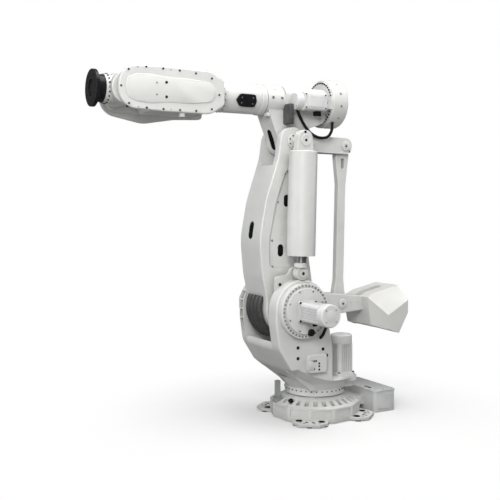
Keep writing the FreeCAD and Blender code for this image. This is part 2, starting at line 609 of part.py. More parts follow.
def make_wrist():
    z = forearm_z
    body = side_plate(wrist_outline(-12), -tine_out, tine_out)
    window = side_plate([(wrist_block_front - 60, z - 500, 0), (wrist_block_front - 60, z - 190, 0),
                         (wrist_block_front, z - 90, 0), (wrist_block_front, z + 90, 0),
                         (wrist_block_front - 60, z + 190, 0), (wrist_block_front - 60, z + 500, 0),
                         (2600, z + 500, 0), (2600, z - 500, 0)], -tine_in, tine_in)
    body = body.cut(window)
    body = body.cut(cyl_y(-400, 400, wrist_x, z, 70))
    nodes["wrist_housing"] = body
    left = side_plate(wrist_outline(0), tine_out, tine_out + cover_t)
    nodes["wrist_cover_left"] = rim(left, 16, in_plane("Y", tine_out + cover_t))
    right = side_plate(right_cover_outline(), -tine_out - 70, -tine_out)
    nodes["wrist_cover_right"] = rim(right, 24, in_plane("Y", -tine_out - 70))


def make_tilt_housing():
    z = forearm_z
    half = tine_in - running_gap
    drum = cyl_y(-half, half, wrist_x, z, tilt_r)
    drum = rim(drum, 12, in_plane("Y", -half, half))
    snout = cyl_x(wrist_x, wrist_x + flange_reach - 110, 0, z, 140)
    shaft = cyl_y(-tine_out + 1, tine_out - 1, wrist_x, z, 69.95)
    nodes["tilt_housing"] = fuse(drum, snout, shaft)


def make_disc():
    z = forearm_z
    face = wrist_x + flange_reach
    hub = cyl_x(face - 109.7, face - disc_t, 0, z, 132)
    plate = rim(cyl_x(face - disc_t, face, 0, z, disc_r), 4, in_plane("X", face))
    disc = fuse(hub, plate)
    holes = [cyl_x(face - 30, face + 1, y, z + dz, tool_hole_r)
             for y, dz in ring_points(tool_holes, tool_pcd / 2)]
    disc = disc.cut(Part.makeCompound(holes + [cyl_x(face - 12, face + 1, 0, z, 80)]))
    nodes["turning_disc"] = disc


# ---- cables held at both ends ----
def cable(points, radius):
    """Round cable of straight runs and tangent arcs through the points."""
    edges, start = [], points[0]
    for a, p, b in zip(points, points[1:], points[2:]):
        u, w = (a - p).normalize(), (b - p).normalize()
        half = u.getAngle(w) / 2
        run = min(a.distanceToPoint(p), p.distanceToPoint(b))
        bend = 0.45 * run * math.tan(half)
        first, last = p + u * 0.45 * run, p + w * 0.45 * run
        centre = p + (u + w).normalize() * (bend / math.sin(half))
        middle = centre + (p - centre).normalize() * bend
        edges += [Part.LineSegment(start, first).toShape(), Part.Arc(first, middle, last).toShape()]
        start = last
        print("  cable arc radius", round(bend, 1))
    edges.append(Part.LineSegment(start, points[-1]).toShape())
    path = Part.Wire(edges)
    ring = Part.Wire(Part.makeCircle(radius, points[0], points[1] - points[0]))
    return path.makePipeShell([ring], True, False)


def make_cables():
    z = forearm_z
    y = arm_in + 24
    loop = [V(330, y + 10, z - 96), V(300, y + 12, z - 168), V(240, y + 10, z - 262), V(150, y + 4, z - 346),
            V(30, y, z - 388), V(-76, y + 4, z - 366), V(-126, y, z - 290), V(-132, y - 6, z - 196)]
    ends = fuse(nodes["motor_4"], nodes["arm_house"], nodes["rear_drum"])
    nodes["elbow_cable"] = cable(loop, cable_r).cut(ends)
    x, mz, face = shoulder_x, shoulder_z, left_out
    lead = [V(x - 96, face + 205, mz - 40), V(x - 160, face + 205, mz - 66), V(x - 196, face + 168, mz - 130),
            V(x - 214, face + 96, mz - 196), V(x - 222, face + 40, mz - 268), V(x - 222, face - 20, mz - 306)]
    nodes["motor_lead"] = cable(lead, cable_r).cut(nodes["frame_casting"]).cut(nodes["motor_2"])


def make_hub_hoses():
    """Hose band that runs round the hub from the front of the lower arm."""
    x, z = shoulder_x, shoulder_z
    tubes = []
    for y in (-108, -36, 36, 108):
        ring = Part.makeTorus(hose_path_r, hose_r, V(x, y, z), V(0, 1, 0), -180, 180, 360)
        wedge = side_plate([(x, z, 0), (x + 900, z + 364, 0), (x + 900, z - 900, 0), (x + 360, z - 900, 0)],
                           y - 60, y + 60)
        tubes.append(turned(ring.common(wedge), rest_lean, x, z).cut(nodes["lower_arm"]))
    nodes["hub_hoses"] = Part.makeCompound(tubes)


def build():
    make_base()
    make_connector_box()
    make_frame()
    make_gear_cover(left_in, left_out, 1, "gear_cover_left")
    make_gear_cover(-cheek_in, -right_out, -1, "gear_cover_right")
    make_motors()
    make_service_panel()
    make_balancer_lug()
    make_lower_arm()
    make_elbow_pin()
    make_balancer()
    make_rod()
    make_lever()
    make_counterweight()
    make_arm_house()
    make_forearm()
    make_wrist()
    make_tilt_housing()
    make_disc()
    make_cables()
    make_hub_hoses()


build()
os.makedirs("parts", exist_ok=True)
for name, shape in nodes.items():
    shape.exportStep("parts/" + name + ".step")
    print(name, len(shape.Solids), "solids", round(shape.Volume / 1e6, 2), "litres", shape.isValid())
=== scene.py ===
import json
import math

import bpy
import numpy as np
from mathutils import Matrix, Vector


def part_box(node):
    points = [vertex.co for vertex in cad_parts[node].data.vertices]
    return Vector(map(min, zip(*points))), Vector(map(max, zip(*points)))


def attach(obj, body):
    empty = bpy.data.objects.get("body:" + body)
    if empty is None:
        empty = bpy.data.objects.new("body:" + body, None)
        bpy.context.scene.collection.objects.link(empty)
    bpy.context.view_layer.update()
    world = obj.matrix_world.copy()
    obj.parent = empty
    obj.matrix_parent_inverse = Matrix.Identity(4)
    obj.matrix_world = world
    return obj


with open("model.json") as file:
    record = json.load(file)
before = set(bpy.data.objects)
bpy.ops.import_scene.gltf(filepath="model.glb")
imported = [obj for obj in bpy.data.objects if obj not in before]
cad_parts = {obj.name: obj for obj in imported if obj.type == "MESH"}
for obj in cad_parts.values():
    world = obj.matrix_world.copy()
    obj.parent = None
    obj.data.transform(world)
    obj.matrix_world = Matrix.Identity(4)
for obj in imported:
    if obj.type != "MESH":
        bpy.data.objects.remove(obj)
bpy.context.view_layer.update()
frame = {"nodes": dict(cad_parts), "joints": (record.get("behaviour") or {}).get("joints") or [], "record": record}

print("stage: frame loaded,", len(frame["nodes"]), "nodes")

# places of the axes and pins, in metres, read from the frame
axisAt = {j["name"]: np.array(j["pos_m"]) for j in frame["joints"]}
shoulderAt = axisAt["axis_2"]
elbowAt = axisAt["elbow_turn"]
forearmZ = axisAt["axis_4"][2]
wristAt = axisAt["axis_5"]
rodFootAt = axisAt["rod_level"]
rodTopAt = rodFootAt + elbowAt - shoulderAt
armLean = math.atan2(elbowAt[0] - shoulderAt[0], elbowAt[2] - shoulderAt[2])


# node trees: one call adds a node, sets it up and links or fills its inputs
def newNode(tree, kind, values=None, **settings):
    node = tree.nodes.new(kind)
    for key, value in settings.items():
        setattr(node, key, value)
    for key, value in (values or {}).items():
        if isinstance(value, bpy.types.NodeSocket):
            tree.links.new(value, node.inputs[key])
        else:
            node.inputs[key].default_value = value
    return node


def mathNode(tree, kind, a, b=0.0, c=0.0):
    return newNode(tree, "ShaderNodeMath", {0: a, 1: b, 2: c}, operation=kind).outputs[0]


# a Mix node's inputs 6 and 7 are its two colours, and its output 2 is the colour between them
def mixColour(tree, share, a, b):
    return newNode(tree, "ShaderNodeMix", {0: share, 6: a, 7: b}, data_type="RGBA").outputs[2]


def newGroup(name, inputs, outputs):
    tree = bpy.data.node_groups.new(name, "ShaderNodeTree")
    for label, start in inputs:
        socket = tree.interface.new_socket(name=label, in_out="INPUT", socket_type="NodeSocketFloat")
        socket.default_value = start
    for label in outputs:
        tree.interface.new_socket(name=label, in_out="OUTPUT", socket_type="NodeSocketFloat")
    return tree, newNode(tree, "NodeGroupInput").outputs, newNode(tree, "NodeGroupOutput").inputs


# surface height of a sand casting under paint: slow waves, fine grain and sparse pits
def makeCastGrain():
    tree, given, out = newGroup("castGrain", [("Scale", 60.0), ("Waves", 0.5), ("Pits", 0.2)],
                                ["Height", "Mottle"])
    place = newNode(tree, "ShaderNodeTexCoord").outputs["Object"]
    grain = newNode(tree, "ShaderNodeTexNoise", {"Vector": place, "Scale": given["Scale"], "Detail": 5.0})
    slow = mathNode(tree, "MULTIPLY", given["Scale"], 0.06)
    waves = newNode(tree, "ShaderNodeTexNoise", {"Vector": place, "Scale": slow, "Detail": 3.0})
    cells = newNode(tree, "ShaderNodeTexVoronoi", {"Vector": place, "Scale": given["Scale"]})
    centre = cells.outputs["Distance"]
    pit = newNode(tree, "ShaderNodeMapRange", {0: centre, 1: 0.0, 2: 0.18, 3: -1.0, 4: 0.0})
    height = mathNode(tree, "MULTIPLY_ADD", waves.outputs["Fac"], given["Waves"], grain.outputs["Fac"])
    height = mathNode(tree, "MULTIPLY_ADD", pit.outputs[0], given["Pits"], height)
    tree.links.new(height, out["Height"])
    tree.links.new(waves.outputs["Fac"], out["Mottle"])
    return tree


# mask of rubbed edges: where a normal rounded over Radius leaves the true one, broken up by noise
def makeEdgeRub():
    tree, given, out = newGroup("edgeRub", [("Radius", 0.004), ("Breakup", 90.0), ("Reach", 0.5)], ["Mask"])
    soft = newNode(tree, "ShaderNodeBevel", {"Radius": given["Radius"]}, samples=4)
    true = newNode(tree, "ShaderNodeNewGeometry").outputs["Normal"]
    dot = newNode(tree, "ShaderNodeVectorMath", {0: soft.outputs[0], 1: true}, operation="DOT_PRODUCT")
    bend = mathNode(tree, "SUBTRACT", 1.0, dot.outputs["Value"])
    place = newNode(tree, "ShaderNodeTexCoord").outputs["Object"]
    noise = newNode(tree, "ShaderNodeTexNoise", {"Vector": place, "Scale": given["Breakup"], "Detail": 4.0})
    keep = newNode(tree, "ShaderNodeMapRange", {0: noise.outputs["Fac"], 1: 0.45, 2: 0.62})
    worn = newNode(tree, "ShaderNodeMapRange", {0: bend, 1: 0.02, 2: 0.20, 4: given["Reach"]})
    tree.links.new(mathNode(tree, "MULTIPLY", keep.outputs[0], worn.outputs[0]), out["Mask"])
    return tree


# mask of painted shade in corners and creases, from how closed the surface is within Reach, broken up by noise
def makePaintedCornerShade():
    tree, given, out = newGroup("cornerGrime", [("Reach", 0.11), ("Amount", 0.5)], ["Mask"])
    closed = newNode(tree, "ShaderNodeAmbientOcclusion", {"Distance": given["Reach"]}, samples=6)
    dark = mathNode(tree, "SUBTRACT", 1.0, closed.outputs["AO"])
    place = newNode(tree, "ShaderNodeTexCoord").outputs["Object"]
    noise = newNode(tree, "ShaderNodeTexNoise", {"Vector": place, "Scale": 14.0, "Detail": 6.0})
    patch = newNode(tree, "ShaderNodeMapRange", {0: noise.outputs["Fac"], 1: 0.3, 2: 0.7, 3: 0.55})
    mask = mathNode(tree, "MULTIPLY", dark, patch.outputs[0])
    tree.links.new(mathNode(tree, "MULTIPLY", mask, given["Amount"]), out["Mask"])
    return tree


# mask of shop dust: on faces that look up, in soft blotches
def makeDustFall():
    tree, given, out = newGroup("dustFall", [("Amount", 0.3), ("Blotch", 7.0)], ["Mask"])
    normal = newNode(tree, "ShaderNodeNewGeometry").outputs["Normal"]
    up = newNode(tree, "ShaderNodeSeparateXYZ", {0: normal}).outputs["Z"]
    lie = newNode(tree, "ShaderNodeMapRange", {0: up, 1: 0.25, 2: 0.95})
    place = newNode(tree, "ShaderNodeTexCoord").outputs["Object"]
    noise = newNode(tree, "ShaderNodeTexNoise", {"Vector": place, "Scale": given["Blotch"], "Detail": 8.0})
    spread = newNode(tree, "ShaderNodeMapRange", {0: noise.outputs["Fac"], 1: 0.35, 2: 0.75})
    mask = mathNode(tree, "MULTIPLY", lie.outputs[0], spread.outputs[0])
    tree.links.new(mathNode(tree, "MULTIPLY", mask, given["Amount"]), out["Mask"])
    return tree


# height of turning marks: noise that changes only along Y, or along X where Along is 1
def makeToolMarks():
    tree, given, out = newGroup("toolMarks", [("Rings", 600.0), ("Along", 0.0)], ["Height"])
    place = newNode(tree, "ShaderNodeTexCoord").outputs["Object"]
    parts = newNode(tree, "ShaderNodeSeparateXYZ", {0: place}).outputs
    line = newNode(tree, "ShaderNodeMix", {0: given["Along"], 2: parts["Y"], 3: parts["X"]}).outputs[0]
    slide = mathNode(tree, "MULTIPLY", line, given["Rings"])
    noise = newNode(tree, "ShaderNodeTexNoise", {"W": slide, "Scale": 1.0, "Detail": 3.0},
                    noise_dimensions="1D")
    tree.links.new(noise.outputs["Fac"], out["Height"])
    return tree


groups = {"castGrain": makeCastGrain(), "edgeRub": makeEdgeRub(), "cornerGrime": makePaintedCornerShade(),
          "dustFall": makeDustFall(), "toolMarks": makeToolMarks()}


def placeGroup(tree, name, **values):
    node = newNode(tree, "ShaderNodeGroup", node_tree=groups[name])
    for label, value in values.items():
        node.inputs[label].default_value = value
    return node.outputs


# each finish: colour and its darker mate, gloss, and how much of each shared effect it shows, grime being its
# painted corner shade
finishes = {
    "paint": {"colour": (0.76, 0.765, 0.75), "mate": (0.70, 0.705, 0.69), "rough": 0.36, "scale": 60.0,
              "waves": 0.9, "pits": 0.25, "bump": 0.22, "rub": 0.30, "rubColour": (0.55, 0.55, 0.53),
              "grime": 0.62, "dust": 0.10, "coat": 0.12},
    "motorPaint": {"colour": (0.77, 0.77, 0.77), "mate": (0.71, 0.72, 0.72), "rough": 0.42, "scale": 110.0,
                   "waves": 0.3, "pits": 0.1, "bump": 0.14, "rub": 0.35, "rubColour": (0.62, 0.62, 0.60),
                   "grime": 0.5, "dust": 0.2},
    "sheet": {"colour": (0.70, 0.71, 0.71), "mate": (0.65, 0.66, 0.67), "rough": 0.45, "scale": 160.0,
              "waves": 0.15, "pits": 0.0, "bump": 0.10, "rub": 0.3, "rubColour": (0.5, 0.5, 0.5),
              "grime": 0.4, "dust": 0.25},
    "greyPaint": {"colour": (0.36, 0.37, 0.37), "mate": (0.30, 0.31, 0.31), "rough": 0.45, "scale": 90.0,
                  "waves": 0.5, "pits": 0.2, "bump": 0.2, "rub": 0.5, "rubColour": (0.55, 0.55, 0.54),
                  "grime": 0.5, "dust": 0.3},
    "blackPlastic": {"colour": (0.008, 0.008, 0.009), "mate": (0.014, 0.014, 0.015), "rough": 0.42,
                     "scale": 220.0, "waves": 0.2, "pits": 0.3, "bump": 0.3, "rub": 0.6,
                     "rubColour": (0.05, 0.05, 0.05), "grime": 0.0, "dust": 0.02, "gloss": 0.15},
    "greyPlastic": {"colour": (0.085, 0.085, 0.088), "mate": (0.060, 0.060, 0.063), "rough": 0.5,
                    "scale": 220.0, "waves": 0.2, "pits": 0.2, "bump": 0.3, "rub": 0.5,
                    "rubColour": (0.22, 0.22, 0.22), "grime": 0.3, "dust": 0.3},
    "rubber": {"colour": (0.020, 0.020, 0.021), "mate": (0.034, 0.033, 0.032), "rough": 0.72, "scale": 150.0,
               "waves": 0.6, "pits": 0.4, "bump": 0.4, "rub": 0.5, "rubColour": (0.08, 0.08, 0.078),
               "grime": 0.1, "dust": 0.4},
    "blackSteel": {"colour": (0.008, 0.008, 0.010), "mate": (0.016, 0.016, 0.017), "rough": 0.30,
                   "scale": 130.0, "waves": 0.4, "pits": 0.2, "bump": 0.15, "rub": 0.8,
                   "rubColour": (0.14, 0.14, 0.135), "grime": 0.0, "dust": 0.01, "gloss": 0.16},
    "steel": {"colour": (0.55, 0.55, 0.54), "mate": (0.42, 0.42, 0.42), "rough": 0.3, "scale": 200.0,
              "waves": 0.3, "pits": 0.1, "bump": 0.12, "rub": 0.5, "rubColour": (0.72, 0.72, 0.7),
              "grime": 0.6, "dust": 0.1, "metal": 1.0, "rings": 900.0},
    "darkSteel": {"colour": (0.30, 0.30, 0.31), "mate": (0.20, 0.20, 0.21), "rough": 0.30, "scale": 200.0,
                  "waves": 0.3, "pits": 0.1, "bump": 0.15, "rub": 0.5, "rubColour": (0.4, 0.4, 0.4),
                  "grime": 0.4, "dust": 0.10, "metal": 0.8},
    "ironPaint": {"colour": (0.76, 0.76, 0.745), "mate": (0.69, 0.69, 0.67), "rough": 0.42, "scale": 38.0,
                  "waves": 1.3, "pits": 0.5, "bump": 0.4, "rub": 0.4, "rubColour": (0.52, 0.52, 0.50),
                  "grime": 0.5, "dust": 0.3},
    "cable": {"colour": (0.006, 0.006, 0.007), "mate": (0.012, 0.012, 0.013), "rough": 0.40, "scale": 260.0,
              "waves": 0.2, "pits": 0.1, "bump": 0.2, "rub": 0.3, "rubColour": (0.04, 0.04, 0.04),
              "grime": 0.0, "dust": 0.02, "gloss": 0.15},
    "hose": {"colour": (0.035, 0.035, 0.036), "mate": (0.060, 0.060, 0.058), "rough": 0.34, "scale": 240.0,
             "waves": 0.5, "pits": 0.1, "bump": 0.3, "rub": 0.4, "rubColour": (0.13, 0.13, 0.125),
             "grime": 0.1, "dust": 0.15},
    # painted shade: near-black for plates and discs set inside holes, slots and recesses
    "hollow": {"colour": (0.004, 0.004, 0.004), "mate": (0.007, 0.007, 0.007), "rough": 0.85, "scale": 200.0,
               "waves": 0.3, "pits": 0.2, "bump": 0.2, "rub": 0.1, "rubColour": (0.03, 0.03, 0.03),
               "grime": 0.0, "dust": 0.01, "gloss": 0.1},
    "screwBlack": {"colour": (0.010, 0.010, 0.011), "mate": (0.022, 0.021, 0.021), "rough": 0.38,
                   "scale": 300.0, "waves": 0.2, "pits": 0.0, "bump": 0.1, "rub": 0.7,
                   "rubColour": (0.16, 0.155, 0.15), "grime": 0.1, "dust": 0.03, "gloss": 0.15},
    "screwZinc": {"colour": (0.50, 0.50, 0.49), "mate": (0.36, 0.36, 0.355), "rough": 0.34, "scale": 300.0,
                  "waves": 0.3, "pits": 0.0, "bump": 0.12, "rub": 0.6, "rubColour": (0.7, 0.7, 0.68),
                  "grime": 0.5, "dust": 0.1, "metal": 1.0},
}


# what the painted corner shade and the dust look like on every finish, and how much they and the paint's own tone
# dull the gloss
shadeAndDust = {"grime": (0.16, 0.15, 0.13, 1.0), "dust": (0.60, 0.58, 0.53, 1.0), "grimeRough": 0.4,
        "dustRough": 0.5, "toneRough": 0.10, "bumpDepth": 0.002}


def makeFinish(name):
    look = finishes[name]
    material = bpy.data.materials.new(name)
    material.use_nodes = True
    tree = material.node_tree
    shader = tree.nodes["Principled BSDF"]
    rgba = {key: (*look[key], 1.0) for key in ("colour", "mate", "rubColour")}
    grain = placeGroup(tree, "castGrain", Scale=look["scale"], Waves=look["waves"], Pits=look["pits"])
    rub = placeGroup(tree, "edgeRub", Reach=look["rub"])["Mask"]
    grime = placeGroup(tree, "cornerGrime", Amount=look["grime"])["Mask"]
    dust = placeGroup(tree, "dustFall", Amount=look["dust"])["Mask"]
    tone = newNode(tree, "ShaderNodeMapRange", {0: grain["Mottle"], 1: 0.3, 2: 0.7}).outputs[0]
    colour = mixColour(tree, tone, rgba["colour"], rgba["mate"])
    colour = mixColour(tree, rub, colour, rgba["rubColour"])
    # painted shade: the corner mask darkens the colour towards a dark brown-grey
    colour = mixColour(tree, grime, colour, shadeAndDust["grime"])
    colour = mixColour(tree, dust, colour, shadeAndDust["dust"])
    tree.links.new(colour, shader.inputs["Base Color"])
    rough = mathNode(tree, "MULTIPLY_ADD", tone, shadeAndDust["toneRough"], look["rough"] - shadeAndDust["toneRough"] / 2)
    rough = mathNode(tree, "MULTIPLY_ADD", dust, shadeAndDust["dustRough"], rough)
    rough = mathNode(tree, "MULTIPLY_ADD", grime, shadeAndDust["grimeRough"], rough)
    tree.links.new(rough, shader.inputs["Roughness"])
    height = grain["Height"]
    if "rings" in look:
        marks = placeGroup(tree, "toolMarks", Rings=look["rings"])["Height"]
        height = mathNode(tree, "ADD", height, marks)
    bump = newNode(tree, "ShaderNodeBump", {"Strength": look["bump"], "Distance": shadeAndDust["bumpDepth"],
                                            "Height": height})
    tree.links.new(bump.outputs[0], shader.inputs["Normal"])
    shader.inputs["Metallic"].default_value = look.get("metal", 0.0)
    shader.inputs["Coat Weight"].default_value = look.get("coat", 0.0)
    shader.inputs["Specular IOR Level"].default_value = look.get("gloss", 0.5)
    return material


finish = {name: makeFinish(name) for name in finishes}

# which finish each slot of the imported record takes
slotFinish = {"paint": "paint", "motor_paint": "motorPaint", "sheet": "sheet", "grey_paint": "greyPaint",
              "steel": "steel", "dark_steel": "darkSteel", "black_steel": "blackSteel", "rubber": "rubber",
              "grey_plastic": "greyPlastic", "black_plastic": "blackPlastic", "alu_paint": "paint",
              "iron_paint": "ironPaint", "cable": "cable", "hose": "hose"}
for part in frame["record"]["subparts"]:
    mesh = frame["nodes"][part["node"]].data
    mesh.materials.clear()
    mesh.materials.append(finish[slotFinish[part["material_slot"]]])
print("stage: finishes on the cast and turned parts")


# a profile turned about Z: rings of points at (radius, height), the six-sided ones pulled in
# to a hexagon, joined by quads and closed by one flat cap
def latheShape(profile, sides=12):
    turn = np.arange(sides) * 2 * math.pi / sides
    flat = np.where(np.arange(sides) % 2, math.cos(math.pi / 6), 1.0)
    rings = []
    for radius, height, hexed in profile:
        reach = radius * (flat if hexed else np.ones(sides))
        rings.append(np.stack([reach * np.cos(turn), reach * np.sin(turn), np.full(sides, height)], 1))
    lower = np.arange(sides)
    upper = (lower + 1) % sides
    quads = [np.stack([lower, upper, upper + sides, lower + sides], 1) + i * sides
             for i in range(len(profile) - 1)]
    caps = np.arange(sides)[None] + (len(profile) - 1) * sides
    return np.concatenate(rings), np.concatenate(quads), caps


# heads of the screws, as (radius, height, hexagon), in head radii
headProfiles = {
    "socket": [(1.0, 0.0, 0), (1.0, 0.72, 0), (0.88, 0.86, 0), (0.56, 0.86, 1), (0.54, 0.30, 1)],
    "hex": [(1.38, 0.0, 0), (1.38, 0.16, 0), (1.04, 0.17, 1), (1.04, 0.74, 1), (0.88, 0.86, 1)],
    "plug": [(1.0, 0.0, 0), (1.0, 0.20, 0), (0.86, 0.34, 0), (0.40, 0.40, 0)],
    "recess": [(1.3, 0.0, 0), (1.25, 0.14, 0), (1.0, 0.14, 0), (0.96, 0.02, 0), (0.5, 0.03, 1)],
}


# a smooth mesh with creases where faces meet at more than sharp degrees, riding on a body
def addPiece(name, points, faces, body, look, sharp=35.0):
    mesh = bpy.data.meshes.new(name)
    mesh.from_pydata(points.tolist(), [], faces)
    mesh.update()
    mesh.polygons.foreach_set("use_smooth", np.ones(len(mesh.polygons), bool))
    mesh.set_sharp_from_angle(angle=math.radians(sharp))
    mesh.materials.append(finish[look])
    piece = bpy.data.objects.new(name, mesh)
    bpy.context.scene.collection.objects.link(piece)
    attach(piece, body)
    return piece


headTurn = 2.4    # radians that each copy is turned further than the one before it


# copies of one turned shape: its Z goes along each normal, its X and Y along two lines square to it;
# profile is a list of rings, or the name of a screw's head
def scatter(name, profile, radius, places, normals, body, look, sides=12):
    if isinstance(profile, str):
        profile = headProfiles[profile]
    points, quads, caps = latheShape([(r * radius, h * radius, six) for r, h, six in profile], sides)
    places = np.asarray(places, float).reshape(-1, 3)
    normals = np.broadcast_to(np.asarray(normals, float), places.shape)
    normals = normals / np.linalg.norm(normals, axis=1)[:, None]
    helper = np.where(np.abs(normals[:, 2:]) > 0.9, [[1.0, 0.0, 0.0]], [[0.0, 0.0, 1.0]])
    across = np.cross(helper, normals)
    across /= np.linalg.norm(across, axis=1)[:, None]
    along = np.cross(normals, across)
    spin = np.arange(len(places)) * headTurn
    first = across * np.cos(spin)[:, None] + along * np.sin(spin)[:, None]
    second = along * np.cos(spin)[:, None] - across * np.sin(spin)[:, None]
    cloud = (places[:, None] + points[None, :, :1] * first[:, None] + points[None, :, 1:2] * second[:, None]
             + points[None, :, 2:] * normals[:, None])
    step = (np.arange(len(places)) * len(points))[:, None, None]
    faces = (quads[None] + step).reshape(-1, 4).tolist()
    faces += (caps[None] + step).reshape(-1, caps.shape[1]).tolist()
    return addPiece(name, cloud.reshape(-1, 3), faces, body, look)


# which two lines a face's outline lies along, and which one it faces
axisOrder = {"x": (1, 2, 0), "y": (0, 2, 1), "z": (0, 1, 2)}


# points on a side face at y: (x, z) offsets in millimetres from a centre (x, z) in metres
def onSide(y, centre, offsets):
    offsets = np.asarray(offsets, float) / 1000.0
    return np.stack([centre[0] + offsets[:, 0], np.full(len(offsets), y), centre[1] + offsets[:, 1]], 1)


# count points on a circle round a line along axis, from start degrees; spokes are the outward directions
def ringAt(axis, centre, radius, count, start=0.0):
    turn = np.radians(start + 360.0 * np.arange(count) / count)
    u, v = np.eye(3)[list(axisOrder[axis][:2])]
    spokes = np.cos(turn)[:, None] * u + np.sin(turn)[:, None] * v
    return np.asarray(centre, float) + spokes * radius, spokes


# points where the lines at first cross the lines at second, on a face at height along axis
def crossings(axis, first, second, height):
    a, b, c = axisOrder[axis]
    spots = np.zeros((len(first) * len(second), 3))
    spots[:, a] = np.repeat(first, len(second))
    spots[:, b] = np.tile(second, len(first))
    spots[:, c] = height
    return spots


# outline with each corner cut by a short curve: points a share of the way along both edges, then
# a quadratic curve between them
def softOutline(corners, share=0.28, steps=5):
    corners = np.asarray(corners, float)
    before, after = np.roll(corners, 1, 0), np.roll(corners, -1, 0)
    start, end = corners + (before - corners) * share, corners + (after - corners) * share
    t = np.linspace(0.0, 1.0, steps)[None, :, None]
    curve = (1 - t) ** 2 * start[:, None] + 2 * t * (1 - t) * corners[:, None] + t ** 2 * end[:, None]
    return curve.reshape(-1, 2)


# a raised plate: its outline at the foot, again near the top, then drawn in towards the middle;
# turn is (axis, degrees, point on the line) and swings the whole plate
def raisedPlate(name, outline, axis, base, lift, bevel, body, look, turn=None):
    outline = np.asarray(outline, float)
    middle = outline.mean(0)
    span = np.linalg.norm(outline - middle, axis=1)[:, None]
    inner = middle + (outline - middle) * (1 - bevel / span)
    shoulder = base + (lift - math.copysign(min(bevel, abs(lift)), lift) * 0.6)
    rows = [(outline, base), (outline, shoulder), (inner, base + lift)]
    count = len(outline)
    a, b, c = axisOrder[axis]
    points = np.zeros((3, count, 3))
    for ring, (flat, height) in zip(points, rows):
        ring[:, a], ring[:, b], ring[:, c] = flat[:, 0], flat[:, 1], height
    points = points.reshape(-1, 3)
    if turn:
        spin = np.array(Matrix.Rotation(math.radians(turn[1]), 3, turn[0]))
        points = (points - turn[2]) @ spin.T + turn[2]
    near = np.arange(count)
    far = (near + 1) % count
    quads = np.concatenate([np.stack([near, far, far + count, near + count], 1) + i * count for i in (0, 1)])
    faces = quads.tolist() + [(near + 2 * count).tolist()]
    return addPiece(name, points, faces, body, look)


# outline of a slot with round ends, as long and wide as given, its length along the second line
def slotOutline(middle, halfWide, halfLong, steps=7):
    turn = np.linspace(0.0, math.pi, steps)
    cap = np.stack([np.cos(turn), np.sin(turn)], 1) * halfWide
    rise = np.array([0.0, halfLong - halfWide])
    return np.concatenate([cap + rise, -cap - rise]) + middle


# a box from low to high as a raised plate that faces axis, with its four upright edges rounded
def block(name, low, high, body, look, bevel, axis):
    a, b, c = axisOrder[axis]
    corners = [(low[a], low[b]), (high[a], low[b]), (high[a], high[b]), (low[a], high[b])]
    outline = softOutline(corners, 0.12, 4)
    return raisedPlate(name, outline, axis, low[c], high[c] - low[c], bevel, body, look)


def boxOf(node):
    low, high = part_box(node)
    return np.array(low), np.array(high)


bothSides = (("left", 1), ("right", -1))
shoulderMid = (shoulderAt[0], shoulderAt[2])
elbowMid = (elbowAt[0], elbowAt[2])
forearmLine = np.array([0.0, 0.0, forearmZ])

# wrist covers: raised panels, screws round the edge, pins, plugs and dowels, as (x, z) in millimetres
# from the wrist's axis; the clip and gland are boxes in metres from there
wrist = {"panelLift": 0.010, "panelBevel": 0.016, "seat": 0.001, "screw": 0.0095, "pin": 0.006,
         "plug": 0.0135, "dowel": 0.007, "soft": 0.006, "plugs": [(-359, 60), (-359, -78)],
         "dowels": [(-261, 50), (-261, -62)],
         "pins": [(-74, 184), (-408, 184), (-80, -186), (-410, -192)],
         "screws": [(18, 156), (-156, 192), (-328, 190), (-499, 185), (-671, 172), (-843, 135), (92, -1),
                    (15, -159), (-925, -21), (-161, -192), (-331, -194), (-502, -194), (-674, -192),
                    (-843, -166)],
         "panel": [(52, 0), (28, 92), (-60, 124), (-200, 132), (-330, 116), (-620, 112), (-840, 92),
                   (-890, 30), (-890, -40), (-850, -98), (-620, -128), (-380, -126), (-200, -148),
                   (-60, -136), (28, -98)],
         "clip": ((-0.566, 0.205, -0.254), (-0.520, 0.250, -0.194)),
         "gland": ((-0.040, 0.201, -0.188), (0.018, 0.246, -0.160))}


def makeWristCovers():
    middle = (wristAt[0], forearmZ)
    faces = {"left": boxOf("wrist_cover_left")[1][1], "right": boxOf("wrist_cover_right")[0][1]}
    outline = softOutline(np.asarray(wrist["panel"]) / 1000.0 + middle)
    for side, way in bothSides:
        raisedPlate("wrist_panel_" + side, outline[::way], "y", faces[side] - way * wrist["seat"],
                    way * wrist["panelLift"], wrist["panelBevel"], "forearm", "paint")
    for side, way in bothSides:
        panelFace = faces[side] + way * (wrist["panelLift"] - wrist["seat"])
        for name, kind, spots, face, look, facets in (
                ("cover_screws_", "socket", "screw", faces[side], "screwBlack", 12),
                ("cover_pins_", "plug", "pin", faces[side], "screwZinc", 12),
                ("cover_plugs_", "plug", "plug", panelFace, "blackPlastic", 24),
                ("cover_dowels_", "recess", "dowel", panelFace, "screwZinc", 12)):
            scatter(name + side, kind, wrist[spots], onSide(face, middle, wrist[spots + "s"]),
                    (0, way, 0), "forearm", look, facets)
    block("wrist_clip", *(wristAt + wrist["clip"]), "forearm", "motorPaint", wrist["soft"], "y")
    block("wrist_gland", *(wristAt + wrist["gland"]), "forearm", "blackPlastic", wrist["soft"], "z")


# snout of the tilt housing: two rings, the pins halfway between the screws and only where they show free
snout = {"radius": 0.140, "count": 20, "screwX": 0.150, "screw": 0.0085, "pinX": 0.110, "pin": 0.006,
         "free": 0.70}


